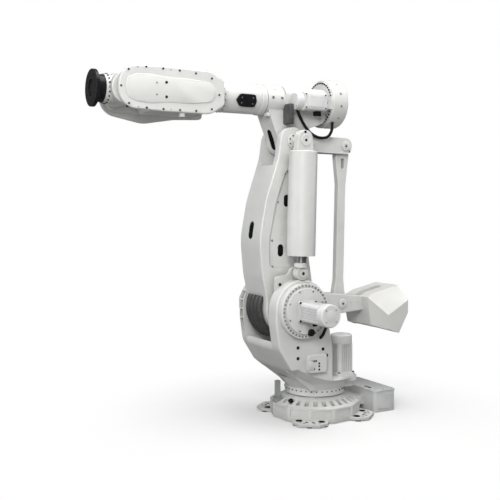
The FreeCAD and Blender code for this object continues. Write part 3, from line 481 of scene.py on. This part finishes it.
def makeSnout():
    spots, spokes = ringAt("x", wristAt + (snout["screwX"], 0, 0), snout["radius"], snout["count"])
    scatter("snout_screws", "socket", snout["screw"], spots, spokes, "tilt", "screwBlack")
    halfStep = 180.0 / snout["count"]
    spots, spokes = ringAt("x", wristAt + (snout["pinX"], 0, 0), snout["radius"], snout["count"], halfStep)
    clear = abs(spokes[:, 2]) > snout["free"]
    scatter("snout_pins", "plug", snout["pin"], spots[clear], spokes[clear], "tilt", "screwZinc")


makeWristCovers()
makeSnout()
print("stage: wrist covers and snout")

# forearm tube: its ring of screws, and the black side cover's rim and screws, as (x, height) in metres
tube = {"radius": 0.154, "ringBack": 1.060, "count": 16, "start": 6.0, "screw": 0.007, "tilt": 13.0,
        "coverFace": 0.168, "coverScrew": 0.0075,
        "coverScrews": [(1.000, 0.026), (1.000, -0.026), (0.870, 0.030), (0.870, -0.030)],
        "rim": [(0.820, 0), (0.842, -0.066), (1.012, -0.066), (1.062, 0), (1.012, 0.066), (0.842, 0.066)],
        "rimBase": 0.128, "rimLift": 0.038, "rimBevel": 0.004, "rimCorner": 0.2}


def makeTubeDetails():
    centre = wristAt - (tube["ringBack"], 0, 0)
    spots, spokes = ringAt("x", centre, tube["radius"], tube["count"], tube["start"])
    scatter("tube_screws", "socket", tube["screw"], spots, spokes, "forearm", "screwZinc")
    tilt = math.radians(tube["tilt"])
    out, up = np.array([0, math.cos(tilt), -math.sin(tilt)]), np.array([0, math.sin(tilt), math.cos(tilt)])
    spots = [forearmLine + (x, 0, 0) + out * tube["coverFace"] + up * dz for x, dz in tube["coverScrews"]]
    scatter("tube_cover_screws", "socket", tube["coverScrew"], spots, out, "forearm", "screwZinc")
    rim = softOutline(np.array(tube["rim"]) + (0, forearmZ), tube["rimCorner"])
    raisedPlate("tube_cover_rim", rim, "y", tube["rimBase"], tube["rimLift"], tube["rimBevel"], "forearm",
                "blackPlastic", turn=("X", -tube["tilt"], forearmLine))


# neck of the arm house: six recessed screws at (degrees round, x), a clip and the cable's connector
neck = {"radius": 0.162, "screw": 0.0115,
        "screws": [(41.0, 0.585), (6.0, 0.623), (5.0, 0.514), (100.0, 0.600), (140.0, 0.560), (175.0, 0.610)],
        "clip": ((0.640, 0.070, -0.178), (0.680, 0.130, -0.140)), "clipSoft": 0.006,
        "connector": ((0.085, 0.190, -0.158), (0.150, 0.252, -0.104)), "connectorSoft": 0.005}
junction = {"lidSide": 0.006, "lidEnd": 0.008, "lidFoot": 0.002, "lidLift": 0.008, "lidSoft": 0.004,
            "screwSide": 0.014, "screwEnd": 0.018, "screw": 0.004}


def makeNeckDetails():
    angles, along = np.array(neck["screws"]).T
    angles, none = np.radians(angles), np.zeros(len(along))
    spokes = np.stack([none, np.cos(angles), np.sin(angles)], 1)
    spots = spokes * neck["radius"] + np.stack([along, none, none + forearmZ], 1)
    scatter("neck_screws", "recess", neck["screw"], spots, spokes, "upper_arm", "screwZinc")
    block("neck_clip", *(forearmLine + neck["clip"]), "upper_arm", "motorPaint", neck["clipSoft"], "y")
    low, high = boxOf("junction_box")
    face = high[1] + junction["lidLift"]
    lidLow = (low[0] + junction["lidSide"], high[1] - junction["lidFoot"], low[2] + junction["lidEnd"])
    lidHigh = (high[0] - junction["lidSide"], face, high[2] - junction["lidEnd"])
    block("junction_lid", lidLow, lidHigh, "upper_arm", "greyPlastic", junction["lidSoft"], "y")
    side, end = junction["screwSide"], junction["screwEnd"]
    spots = crossings("y", (low[0] + side, high[0] - side), (low[2] + end, high[2] - end), face)
    scatter("junction_screws", "socket", junction["screw"], spots, (0, 1, 0), "upper_arm",
            "screwZinc")
    block("elbow_connector", *(forearmLine + neck["connector"]), "upper_arm", "blackPlastic",
          neck["connectorSoft"], "x")


# motor 4 lies along X beside the neck, its middle this far out and below the forearm's line
motorFour = {"out": 0.222, "drop": 0.014, "capHalf": 0.055, "capScrew": 0.006, "sideHalf": 0.07,
             "sideX": (0.315, 0.072), "sideScrew": 0.008, "panelX": (0.092, 0.292), "panelHalf": 0.062,
             "panelFoot": 0.002, "panelLift": 0.006, "panelSoft": 0.006, "plugAt": (0.030, 0.236),
             "plug": [(0.024, 0, 0), (0.024, 0.024, 0), (0.019, 0.030, 0)]}

# rear drum: the front ring leaves out the screws behind motor 4 and behind the arm house
drum = {"ringIn": 0.038, "count": 40, "screw": 0.0100, "screwLift": 0.009, "plateIn": 0.020, "seat": 0.001,
        "motorOut": 0.115, "motorHalf": 0.075, "houseHalf": 0.182, "houseTop": 0.155, "houseFoot": 0.135,
        "sideX": 0.100, "sideCount": 12, "sideStart": 20.0, "sideScrew": 0.010,
        "rearIn": 0.050, "rearCount": 24, "rearScrew": 0.0105,
        "rearCap": [(0.120, 0, 0), (0.120, 0.008, 0), (0.110, 0.014, 0), (0.070, 0.014, 0),
                    (0.066, 0.006, 0)]}


def makeDrumDetails():
    low, high = boxOf("rear_drum")
    drumZ = (low[2] + high[2]) / 2
    drumR = (high[2] - low[2]) / 2
    plateR = drumR - drum["plateIn"]
    spots, spokes = ringAt("x", (high[0], 0, drumZ), drumR - drum["ringIn"], drum["count"])
    y, z = abs(spots[:, 1]), spots[:, 2] - forearmZ
    free = (spots[:, 1] <= drum["motorOut"]) | (abs(z + motorFour["drop"]) >= drum["motorHalf"])
    free &= (y > drum["houseHalf"]) | (z > drum["houseTop"]) | (z < -drum["houseFoot"])
    scatter("drum_plate", [(plateR, 0.0, 0), (plateR, 0.006, 0), (plateR - 0.004, 0.010, 0)], 1.0,
            [(high[0] - drum["seat"], 0, drumZ)], (1, 0, 0), "upper_arm", "paint", 96)
    scatter("drum_screws", "socket", drum["screw"], spots[free] + [drum["screwLift"], 0, 0],
            (1, 0, 0), "upper_arm", "screwBlack")
    centre = (low[0] + drum["sideX"], 0, drumZ)
    spots, spokes = ringAt("x", centre, drumR, drum["sideCount"], drum["sideStart"])
    scatter("drum_side_screws", "recess", drum["sideScrew"], spots, spokes, "upper_arm", "screwZinc")
    spots, spokes = ringAt("x", (low[0], 0, drumZ), drumR - drum["rearIn"], drum["rearCount"])
    scatter("drum_rear_screws", "socket", drum["rearScrew"], spots, (-1, 0, 0), "upper_arm",
            "screwBlack")
    scatter("drum_rear_cap", drum["rearCap"], 1.0, [(low[0] + drum["seat"], 0, drumZ)], (-1, 0, 0),
            "upper_arm", "paint", 64)


makeTubeDetails()
makeNeckDetails()
makeDrumDetails()
print("stage: forearm tube, neck and rear drum")

# motors 1 to 3: the axis each one lies along and the way its cap faces; plugAt is from the shoulder,
# its middle number from the motor's foot
motor = {"ways": {"motor_1": ("z", 1), "motor_2": ("y", 1), "motor_3": ("y", -1)},
         "flangeHalf": 0.092, "flangeThick": 0.026, "flangeScrew": 0.011, "capRing": 0.080, "capScrew": 0.006,
         "disc": [(0.058, 0, 0), (0.058, 0.001, 0), (0.055, 0.002, 0)],
         "plug": [(0.030, 0.0, 0), (0.030, 0.018, 0), (0.024, 0.020, 0), (0.024, 0.050, 0),
                  (0.018, 0.052, 0)],
         "plugAt": (-0.050, 0.075, -0.094)}


def makeMotorDetails():
    for name, (axis, way) in motor["ways"].items():
        low, high = boxOf(name)
        a, b, c = axisOrder[axis]
        root, top = (low[c], high[c]) if way > 0 else (high[c], low[c])
        normal = np.eye(3)[c] * way
        middle = (low + high) / 2
        half = motor["flangeHalf"]
        spots = crossings(axis, (middle[a] - half, middle[a] + half), (middle[b] - half, middle[b] + half),
                          root + way * motor["flangeThick"])
        scatter(name + "_flange_screws", "socket", motor["flangeScrew"], spots, normal, "frame",
                "screwBlack")
        middle[c] = top
        spots, spokes = ringAt(axis, middle, motor["capRing"], 4, 45.0)
        scatter(name + "_cap_screws", "recess", motor["capScrew"], spots, normal, "frame",
                "screwZinc")
        scatter(name + "_cap_disc", motor["disc"], 1.0, [middle], normal, "frame", "motorPaint", 48)
    x, y, z = motor["plugAt"]
    for name, root in (("motor_2", boxOf("motor_2")[0][1] + y), ("motor_3", boxOf("motor_3")[1][1] - y)):
        scatter(name + "_plug", motor["plug"], 1.0, [(shoulderAt[0] + x, root, shoulderAt[2] + z)],
                (0, 0, -1), "frame", "blackPlastic", 24)


def makeMotorFour():
    low, high = boxOf("motor_4")
    z = forearmZ - motorFour["drop"]
    out, half = motorFour["out"], motorFour["capHalf"]
    spots = crossings("x", (out - half, out + half), (z - half, z + half), high[0])
    scatter("motor_4_cap_screws", "recess", motorFour["capScrew"], spots, (1, 0, 0), "upper_arm",
            "screwZinc")
    half = motorFour["sideHalf"]
    spots = crossings("y", motorFour["sideX"], (z - half, z + half), high[1])
    scatter("motor_4_side_screws", "socket", motorFour["sideScrew"], spots, (0, 1, 0), "upper_arm",
            "screwBlack")
    start, stop = motorFour["panelX"]
    half = motorFour["panelHalf"]
    block("motor_4_panel", (start, high[1] - motorFour["panelFoot"], z - half),
          (stop, high[1] + motorFour["panelLift"], z + half), "upper_arm", "motorPaint",
          motorFour["panelSoft"], "y")
    scatter("motor_4_plug", motorFour["plug"], 1.0, [(*motorFour["plugAt"], z)], (0, 1, 0), "upper_arm",
            "blackPlastic", 24)


makeMotorDetails()
makeMotorFour()
print("stage: motors")

# gear units on both cheeks: the screw ring lies rimBack behind the cap, the cheek coverThick behind it;
# the cheeks' plugs are (x, z) in millimetres from the shoulder
gear = {"coverThick": 0.076, "rimBack": 0.016, "ring": 0.259, "count": 40, "screw": 0.0095,
        "capRing": 0.212, "capCount": 8, "capScrew": 0.008, "cheekPlug": 0.014,
        "left": [(55, -378), (55, -487), (-300, -486), (-253, -416)],
        "right": [(55, -378), (55, -487), (-253, -416), (180, -420)],
        "cablePlugAt": (0.392, 0.980),
        "cablePlug": [(0.036, 0.0, 0), (0.036, 0.034, 0), (0.030, 0.040, 0), (0.022, 0.040, 0),
                      (0.020, 0.052, 0)]}
gearFace = {"left": boxOf("gear_cover_left")[1][1], "right": boxOf("gear_cover_right")[0][1]}


def makeGearDetails():
    for side, way in bothSides:
        face = gearFace[side]
        rim = (shoulderAt[0], face - way * gear["rimBack"], shoulderAt[2])
        spots, spokes = ringAt("y", rim, gear["ring"], gear["count"])
        scatter("gear_screws_" + side, "socket", gear["screw"], spots, (0, way, 0), "frame",
                "screwZinc")
        spots, spokes = ringAt("y", (shoulderAt[0], face, shoulderAt[2]), gear["capRing"], gear["capCount"],
                               180.0 / gear["capCount"])
        scatter("gear_cap_screws_" + side, "recess", gear["capScrew"], spots, (0, way, 0), "frame",
                "screwZinc")
    for name, (side, way) in zip(("cheek_plugs", "cheek_plugs_right"), bothSides):
        cheek = gearFace[side] - way * gear["coverThick"]
        scatter(name, "recess", gear["cheekPlug"], onSide(cheek, shoulderMid, gear[side]),
                (0, way, 0), "frame", "screwBlack")


# service panel: lamps, a button and switches on its recessed field, as (x, z) in millimetres from the
# shoulder, and one round cap
panel = {"fieldBack": 0.012, "lamp": 0.0105, "lamps": [(-84, -521), (-109, -521), (-134, -521)],
         "button": 0.013, "buttons": [(-108, -597)], "switch": 0.0105,
         "switches": [(-173, -549), (-173, -577), (-173, -612)], "capAt": (0.374, 0.638),
         "cap": [(0.034, 0, 0), (0.034, 0.003, 0), (0.030, 0.005, 0), (0.012, 0.005, 0), (0.011, 0.012, 0)]}


def makePanelDetails():
    face = boxOf("service_panel")[1][1]
    field = face - panel["fieldBack"]
    for name, size, spots, facets in (("panel_lamps", "lamp", "lamps", 12),
                                      ("panel_button", "button", "buttons", 24),
                                      ("panel_switches", "switch", "switches", 20)):
        scatter(name, "plug", panel[size], onSide(field, shoulderMid, panel[spots]), (0, 1, 0), "frame",
                "blackPlastic", facets)
    x, z = panel["capAt"]
    scatter("panel_cap", panel["cap"], 1.0, [(x, face, z)], (0, 1, 0), "frame", "sheet", 36)


# balancer lug and turntable
lug = {"face": 0.319, "bolt": 0.013, "bolts": [(196, 262), (120, 268), (0, 300)], "pinBolt": 0.012}
turntable = {"height": 0.300, "ring": 0.326, "count": 36, "screw": 0.0068}


def makeFrameDetails():
    scatter("lug_bolts", "hex", lug["bolt"], onSide(lug["face"], shoulderMid, lug["bolts"]),
            (0, 1, 0), "frame", "screwBlack")
    low, high = boxOf("balancer_low_pin")
    scatter("low_pin_bolt", "hex", lug["pinBolt"],
            [((low[0] + high[0]) / 2, high[1], (low[2] + high[2]) / 2)], (0, 1, 0), "frame", "screwBlack")
    spots, spokes = ringAt("z", (0, 0, turntable["height"]), turntable["ring"], turntable["count"])
    scatter("turntable_screws", "socket", turntable["screw"], spots, spokes, "frame", "screwBlack")
    x, z = gear["cablePlugAt"]
    scatter("gear_cable_plug", gear["cablePlug"], 1.0, [(x, gearFace["left"] - gear["rimBack"], z)],
            (0, 1, 0), "frame", "blackPlastic", 28)


makeGearDetails()
makePanelDetails()
makeFrameDetails()
print("stage: gear units, service panel and frame")

# elbow: screws on both hubs, a cap on the right one, disc and bolt at the balancer's top eye, and the
# eye's grease plug
elbow = {"face": 0.222, "ring": 0.064, "count": 8, "screw": 0.0075, "bolt": 0.011, "boltLift": 0.003,
         "plug": 0.011, "plugAt": (0.004, 0.084), "discSink": 0.003,
         "cap": [(0.040, 0, 0), (0.040, 0.006, 0), (0.034, 0.010, 0)],
         "disc": [(0.061, 0, 0), (0.061, 0.006, 0), (0.056, 0.010, 0), (0.048, 0.010, 0), (0.046, 0.007, 0)]}


def makeElbowDetails():
    x, z = elbowMid
    for side, way in bothSides:
        spots, spokes = ringAt("y", (x, way * elbow["face"], z), elbow["ring"], elbow["count"],
                               180.0 / elbow["count"])
        scatter("elbow_screws_" + side, "socket", elbow["screw"], spots, (0, way, 0), "lower_arm",
                "screwBlack")
    scatter("elbow_right_cap", elbow["cap"], 1.0, [(x, -elbow["face"], z)], (0, -1, 0), "lower_arm",
            "paint", 40)
    stub = boxOf("elbow_caps")[1][1]
    scatter("top_eye_disc", elbow["disc"], 1.0, [(x, stub - elbow["discSink"], z)], (0, 1, 0), "lower_arm",
            "paint", 48)
    scatter("top_eye_bolt", "hex", elbow["bolt"], [(x, stub + elbow["boltLift"], z)], (0, 1, 0),
            "lower_arm", "screwBlack")
    dx, dz = elbow["plugAt"]
    scatter("eye_grease_plug", "recess", elbow["plug"],
            [(x + dx, boxOf("balancer_top_eye")[1][1], z + dz)], (0, 1, 0), "balancer_tube", "screwBlack")


# lower arm: plugs and side holes as (ahead, up) in millimetres along the leaning arm, the plugs drawn in
# to plugShare of their way ahead; slot and webSlot are heights of the two black plates painting shade in the slots
arm = {"plug": 0.010, "plugFace": 0.180, "plugShare": 0.86,
       "plugs": [(250, 430), (262, 700), (190, 1100), (100, 1400), (-80, 1380), (-84, 1000), (-118, 450)],
       "holes": [(120, 600), (60, 1120)], "holeHalf": (33.5, 63.5), "holeFace": 0.178, "holeThick": 0.006,
       "holeBevel": 0.003, "slot": (shoulderAt[2] + 0.710, shoulderAt[2] + 0.896), "slotHalf": 0.0455,
       "slotSink": 0.004, "slotBeside": 0.075, "webSlot": (elbowAt[2] - 0.080, elbowAt[2] + 0.132),
       "webHalf": 0.037, "webSink": -0.002, "coverThick": 0.008, "castFrom": 3.0}


def makeArmPlugs():
    along = np.array([math.sin(armLean), 0, math.cos(armLean)])
    ahead = np.array([math.cos(armLean), 0, -math.sin(armLean)])
    dx, dz = np.array(arm["plugs"]).T[:, :, None] / 1000
    flat = shoulderAt * (1, 0, 1) + ahead * dx * arm["plugShare"] + along * dz
    for side, way in bothSides:
        scatter("arm_plugs_" + side, "recess", arm["plug"], flat + (0, way * arm["plugFace"], 0),
                (0, way, 0), "lower_arm", "screwZinc")


# a black plate with round ends, painted shade in a slot on a casting's front face: at each height its x is
# where a level line from ahead meets the casting beside the slot, less how deep the plate is sunk
def slotShadePlate(name, node, heights, half, sink, beside, body):
    low, high = heights
    turn = np.linspace(0.1, math.pi / 2, 6)
    rise = np.concatenate([low + half - half * np.cos(turn), high - half + half * np.cos(turn[::-1])])
    away = np.clip(np.maximum(low + half - rise, rise - high + half), 0, None)
    wide = np.sqrt(half ** 2 - away ** 2)
    casting = frame["nodes"][node]
    front = np.array([casting.ray_cast((arm["castFrom"], beside, z), (-1, 0, 0))[1][0] for z in rise])
    back = sink + arm["coverThick"]
    rows = [np.stack([front - depth, side * wide, rise], 1)
            for depth, side in ((back, -1), (sink, -1), (sink, 1), (back, 1))]
    count = len(rise)
    near = np.arange(count - 1)
    quads = np.concatenate([np.stack([near, near + count, near + count + 1, near + 1], 1) + i * count
                            for i in range(3)])
    ends = [[0, 3 * count, 2 * count, count], [i * count + count - 1 for i in range(4)]]
    addPiece(name, np.concatenate(rows), quads.tolist() + ends, body, "hollow", 60.0)


# painted shade: black plates set just inside the lower arm's side holes and in its two slots
def makeArmShadePlates():
    pivot = shoulderAt * (1, 0, 1)
    wide, long = np.array(arm["holeHalf"]) / 1000
    thick = arm["holeThick"]
    for side, way in bothSides:
        for i, hole in enumerate(arm["holes"]):
            outline = slotOutline(np.array(hole) / 1000 + shoulderMid, wide, long)
            raisedPlate("arm_hole_cover_%s_%d" % (side, i + 1), outline, "y", way * (arm["holeFace"] - thick),
                        way * thick, arm["holeBevel"], "lower_arm", "hollow",
                        turn=("Y", math.degrees(armLean), pivot))
    slotShadePlate("arm_slot_cover", "lower_arm", arm["slot"], arm["slotHalf"], arm["slotSink"], arm["slotBeside"],
              "lower_arm")
    slotShadePlate("web_slot_cover", "arm_house", arm["webSlot"], arm["webHalf"], arm["webSink"], 0.0, "upper_arm")


# collar round the balancer's sleeve, from start to stop along the balancer above its foot pin
collar = {"start": 0.060, "stop": 0.108, "radius": 0.0665, "bore": 0.058, "edgeHigh": 0.006, "edgeIn": 0.005}


def makeBalancerCollar():
    lean = np.array([math.sin(armLean), 0, math.cos(armLean)])
    rise, radius = collar["stop"] - collar["start"], collar["radius"]
    profile = [(radius, 0, 0), (radius, rise - collar["edgeHigh"], 0), (radius - collar["edgeIn"], rise, 0),
               (collar["bore"], rise, 0)]
    scatter("balancer_collar", profile, 1.0, [axisAt["balancer_foot"] + lean * collar["start"]], lean,
            "balancer_rod", "paint", 48)


makeElbowDetails()
makeArmPlugs()
makeArmShadePlates()
makeBalancerCollar()
print("stage: elbow, lower arm and balancer")

# ends of the rod's two pins: a washer and a bolt on each side, and a lock screw beside the top pin's
link = {"bolt": 0.010, "boltLift": 0.006, "lockAt": (-0.052, 0.004, -0.060),
        "beam": [(0.056, -0.004, 0), (0.056, 0.004, 0), (0.050, 0.008, 0), (0.022, 0.008, 0),
                 (0.020, 0.005, 0)],
        "rod": [(0.054, -0.006, 0), (0.054, 0.004, 0), (0.048, 0.008, 0), (0.022, 0.008, 0),
                (0.020, 0.005, 0)]}


def makeLinkPins():
    for kind, centre, body in (("beam", rodTopAt, "upper_arm"), ("rod", rodFootAt, "lever")):
        low, high = boxOf(kind + "_pin")
        for (side, way), face in zip(bothSides, (high[1], low[1])):
            scatter(kind + "_washer_" + side, link[kind], 1.0, [(centre[0], face, centre[2])], (0, way, 0),
                    body, "paint", 40)
            spots = [(centre[0], face + way * link["boltLift"], centre[2])]
            if kind == "beam":
                dx, back, dz = link["lockAt"]
                spots.append((centre[0] + dx, face - way * back, centre[2] + dz))
            scatter(kind + "_bolt_" + side, "socket", link["bolt"], spots, (0, way, 0), body,
                    "screwBlack")


# counterweight: its bolts on the lever, at x back from the rod's foot, and its edges rounded like a casting
weight = {"boltsBack": (0.120, 0.210), "boltOut": 0.096, "boltUp": 0.012, "bolt": 0.013, "merge": 0.00002,
          "soft": 0.020, "segments": 3, "sharp": 25.0}


def makeWeightDetails():
    for side, way in bothSides:
        spots = [(rodFootAt[0] - back, way * weight["boltOut"], rodFootAt[2] + weight["boltUp"])
                 for back in weight["boltsBack"]]
        scatter("weight_bolts_" + side, "plug", weight["bolt"], spots, (0, way, 0), "lever", "paint",
                20)
    casting = frame["nodes"]["counterweight"]
    weld = casting.modifiers.new("weld", "WELD")
    weld.merge_threshold = weight["merge"]
    soften = casting.modifiers.new("soften", "BEVEL")
    soften.width = weight["soft"]
    soften.segments = weight["segments"]
    soften.limit_method = "ANGLE"
    soften.angle_limit = math.radians(weight["sharp"])


makeLinkPins()
makeWeightDetails()
print("stage: rod pins and counterweight")

# feet: recesses, slots and dowels in pairs, each kind as (distance from the middle, half spread)
foot = {"x": 0.400, "y": 0.495, "top": 0.040, "seat": 0.001, "recessAt": (0.503, 0.118), "recess": 0.036,
        "slotAt": (0.556, 0.035), "slot": 0.016, "dowelAt": (0.590, 0.055), "dowel": 0.008,
        "recessShape": [(1.0, 0, 0), (1.0, 0.08, 0), (0.9, 0.12, 0)],
        "slotShape": [(1.0, 0, 0), (1.0, 0.10, 0), (0.9, 0.16, 0)]}


# on each foot's own line outwards, two points side by side: reach along it, spread to either side
def footSpots(at, height):
    reach, spread = at
    out = np.array([(-1, -1), (-1, 1), (1, -1), (1, 1)]) * (foot["x"], foot["y"])
    out = out / math.hypot(foot["x"], foot["y"])
    across = np.stack([-out[:, 1], out[:, 0]], 1)
    flat = (out * reach)[:, None] + across[:, None] * np.array([-spread, spread])[None, :, None]
    return np.concatenate([flat.reshape(-1, 2), np.full((2 * len(out), 1), height)], 1)


# gland on the skirt's slope: turn and reach say where it lies from the middle, lean and rise its normal
gland = {"turn": 16.3, "reach": 0.392, "height": 0.196, "lean": 0.45, "rise": 0.9, "radius": 0.026,
         "shape": [(1.0, -0.3, 0), (1.0, 0.5, 0), (0.8, 0.7, 0), (0.55, 0.7, 0), (0.5, 0.2, 0)]}


def makeFootDetails():
    # painted shade: the recesses and slots are near-black discs on the feet's tops
    sunk = foot["top"] - foot["seat"]
    scatter("foot_recesses", foot["recessShape"], foot["recess"], footSpots(foot["recessAt"], sunk),
            (0, 0, 1), "base", "hollow", 24)
    scatter("foot_slots", foot["slotShape"], foot["slot"], footSpots(foot["slotAt"], sunk), (0, 0, 1), "base",
            "hollow", 20)
    scatter("foot_dowels", "recess", foot["dowel"], footSpots(foot["dowelAt"], foot["top"]),
            (0, 0, 1), "base", "screwBlack")
    turn = math.radians(gland["turn"])
    out = np.array([math.cos(turn), math.sin(turn), 0.0])
    scatter("base_gland", gland["shape"], gland["radius"], [out * gland["reach"] + (0, 0, gland["height"])],
            out * gland["lean"] + (0, 0, gland["rise"]), "base", "blackPlastic", 24)


# connector box: lid screws, handle, side panel and the sockets on its rear face; bolts of the cable post
box = {"screw": 0.0065, "screwIn": 0.030, "screwInLeft": 0.040,
       "handleLow": (-0.075, -0.260, -0.001), "handleHigh": (-0.055, -0.150, 0.006), "handleSoft": 0.004,
       "panelX": (0.030, 0.045), "panelZ": (0.030, 0.205), "panelFoot": 0.001, "panelLift": 0.003,
       "socket": 0.030, "socketY": (-0.2, -0.1, 0.0, 0.1, 0.2), "socketZ": (0.085, 0.160),
       "socketShape": [(1.0, 0, 0), (1.0, 0.5, 0), (0.86, 0.6, 0), (0.7, 0.6, 0), (0.66, 0.1, 0)]}
post = {"bolt": 0.009, "inX": 0.010, "inY": 0.012, "height": 0.206}


def makeBoxDetails():
    low, high = boxOf("connector_lid")
    inset = box["screwIn"]
    spots = crossings("z", (low[0] + inset, (low[0] + high[0]) / 2, high[0] - inset),
                      (low[1] + inset, high[1] - box["screwInLeft"]), high[2])
    scatter("lid_screws", "socket", box["screw"], spots, (0, 0, 1), "base", "screwZinc")
    block("lid_handle", high + box["handleLow"], high + box["handleHigh"], "base", "greyPlastic",
          box["handleSoft"], "z")
    low, high = boxOf("connector_box")
    block("box_side_panel", (low[0] + box["panelX"][0], high[1] - box["panelFoot"], box["panelZ"][0]),
          (high[0] - box["panelX"][1], high[1] + box["panelLift"], box["panelZ"][1]), "base", "sheet",
          box["panelLift"], "y")
    spots = crossings("x", box["socketY"], box["socketZ"], low[0])
    scatter("box_sockets", box["socketShape"], box["socket"], spots, (-1, 0, 0), "base", "blackPlastic", 24)
    low, high = boxOf("cable_post")
    x, y = post["inX"], post["inY"]
    spots = crossings("z", (low[0] + x, high[0] - x), (low[1] + y, high[1] - y), post["height"])
    scatter("post_bolts", "hex", post["bolt"], spots, (0, 0, 1), "base", "screwZinc")


makeFootDetails()
makeBoxDetails()
print("stage: feet, connector box and cable post")

# the floor looks pale to the camera but gives back only floorBounce of the light
studio = {"floorSize": 400.0, "floorFade": 2.6, "floorBounce": 0.22, "world": 0.28}


def makeFloor():
    half = studio["floorSize"] / 2
    mesh = bpy.data.meshes.new("floor")
    corners = [(-half, -half, 0), (half, -half, 0), (half, half, 0), (-half, half, 0)]
    mesh.from_pydata(corners, [], [(0, 1, 2, 3)])
    floor = bpy.data.objects.new("floor", mesh)
    bpy.context.scene.collection.objects.link(floor)
    material = bpy.data.materials.new("floorPaint")
    material.use_nodes = True
    tree = material.node_tree
    shader = tree.nodes["Principled BSDF"]
    place = newNode(tree, "ShaderNodeTexCoord").outputs["Object"]
    seen = newNode(tree, "ShaderNodeLightPath").outputs["Is Camera Ray"]
    noise = newNode(tree, "ShaderNodeTexNoise", {"Vector": place, "Scale": 0.8, "Detail": 5.0})
    pale = mixColour(tree, noise.outputs["Fac"], (0.95, 0.95, 0.95, 1.0), (0.91, 0.91, 0.91, 1.0))
    dull = studio["floorBounce"]
    colour = mixColour(tree, seen, (dull, dull, dull, 1.0), pale)
    tree.links.new(colour, shader.inputs["Base Color"])
    shader.inputs["Roughness"].default_value = 0.8
    # the floor fades into the white backdrop: the share of plain white grows with distance
    far = newNode(tree, "ShaderNodeVectorMath", {0: place}, operation="LENGTH").outputs["Value"]
    fade = newNode(tree, "ShaderNodeMapRange", {0: far, 1: 0.6, 2: studio["floorFade"], 3: 0.25, 4: 1.0},
                   interpolation_type="SMOOTHSTEP").outputs[0]
    white = newNode(tree, "ShaderNodeEmission", {"Color": (1.0, 1.0, 1.0, 1.0), "Strength": 1.0}).outputs[0]
    share = mathNode(tree, "MULTIPLY", fade, seen)
    both = newNode(tree, "ShaderNodeMixShader", {0: share, 1: shader.outputs[0], 2: white}).outputs[0]
    tree.links.new(both, tree.nodes["Material Output"].inputs["Surface"])
    mesh.materials.append(material)


# sky: grey below to white above for the arm's light, plain white where the camera sees it
def makeWorld():
    world = bpy.data.worlds.new("studio")
    world.use_nodes = True
    tree = world.node_tree
    tree.nodes.clear()
    seen = newNode(tree, "ShaderNodeLightPath").outputs["Is Camera Ray"]
    place = newNode(tree, "ShaderNodeTexCoord").outputs["Generated"]
    up = newNode(tree, "ShaderNodeSeparateXYZ", {0: place}).outputs["Z"]
    share = newNode(tree, "ShaderNodeMapRange", {0: up, 1: -0.4, 2: 0.8}).outputs[0]
    sky = mixColour(tree, share, (0.26, 0.27, 0.28, 1.0), (1.0, 1.0, 1.0, 1.0))
    soft = newNode(tree, "ShaderNodeBackground", {"Color": sky, "Strength": studio["world"]}).outputs[0]
    white = newNode(tree, "ShaderNodeBackground", {"Color": (1.0, 1.0, 1.0, 1.0), "Strength": 1.0}).outputs[0]
    both = newNode(tree, "ShaderNodeMixShader", {0: seen, 1: soft, 2: white}).outputs[0]
    newNode(tree, "ShaderNodeOutputWorld", {"Surface": both})
    bpy.context.scene.world = world


# round area lights: watts, width, where each one stands and what it faces
lights = {
    "key": {"watts": 500.0, "size": 4.0, "at": (6.0, 6.5, 6.0), "aim": (0.6, 0.0, 1.8),
            "colour": (1.0, 0.99, 0.97)},
    "fill": {"watts": 105.0, "size": 5.0, "at": (7.5, -1.0, 3.0), "aim": (0.5, 0.0, 1.8),
             "colour": (0.95, 0.98, 1.0)},
    "top": {"watts": 310.0, "size": 5.0, "at": (0.0, 1.0, 8.0), "aim": (0.3, 0.0, 1.5)},
    "rim": {"watts": 80.0, "size": 4.0, "at": (-6.5, 3.0, 4.0), "aim": (0.0, 0.0, 1.8)},
    "front": {"watts": 70.0, "size": 3.5, "at": (4.0, 7.5, 1.6), "aim": (0.4, 0.0, 2.0)},
}


def makeLights():
    for name, lamp in lights.items():
        light = bpy.data.lights.new(name, "AREA")
        light.energy = lamp["watts"]
        light.shape = "DISK"
        light.size = lamp["size"]
        light.color = lamp.get("colour", (1.0, 1.0, 1.0))
        stand = bpy.data.objects.new(name, light)
        away = (Vector(lamp["at"]) - Vector(lamp["aim"])).normalized()
        turn = away.to_track_quat("Z", "Y").to_matrix().to_4x4()
        stand.matrix_world = Matrix.Translation(lamp["at"]) @ turn
        bpy.context.scene.collection.objects.link(stand)


# the camera stands level in front of the arm's left side; its frame is shifted, not tilted
view = {"at": (4.881, 7.192, 2.276), "turn": 29.5, "lens": 56.88, "shiftY": -0.09, "farthest": 200.0}


def makeCamera():
    lens = bpy.data.cameras.new("camera")
    lens.lens = view["lens"]
    lens.shift_y = view["shiftY"]
    lens.clip_end = view["farthest"]
    camera = bpy.data.objects.new("camera", lens)
    s, c = math.sin(math.radians(view["turn"])), math.cos(math.radians(view["turn"]))
    turn = Matrix(((-c, 0, s), (s, 0, c), (0, 1, 0))).to_4x4()
    camera.matrix_world = Matrix.Translation(view["at"]) @ turn
    bpy.context.scene.collection.objects.link(camera)
    bpy.context.scene.camera = camera


makeFloor()
makeWorld()
makeLights()
makeCamera()
bpy.context.scene.view_settings.view_transform = "Standard"
print("stage: floor, sky, lights and camera")
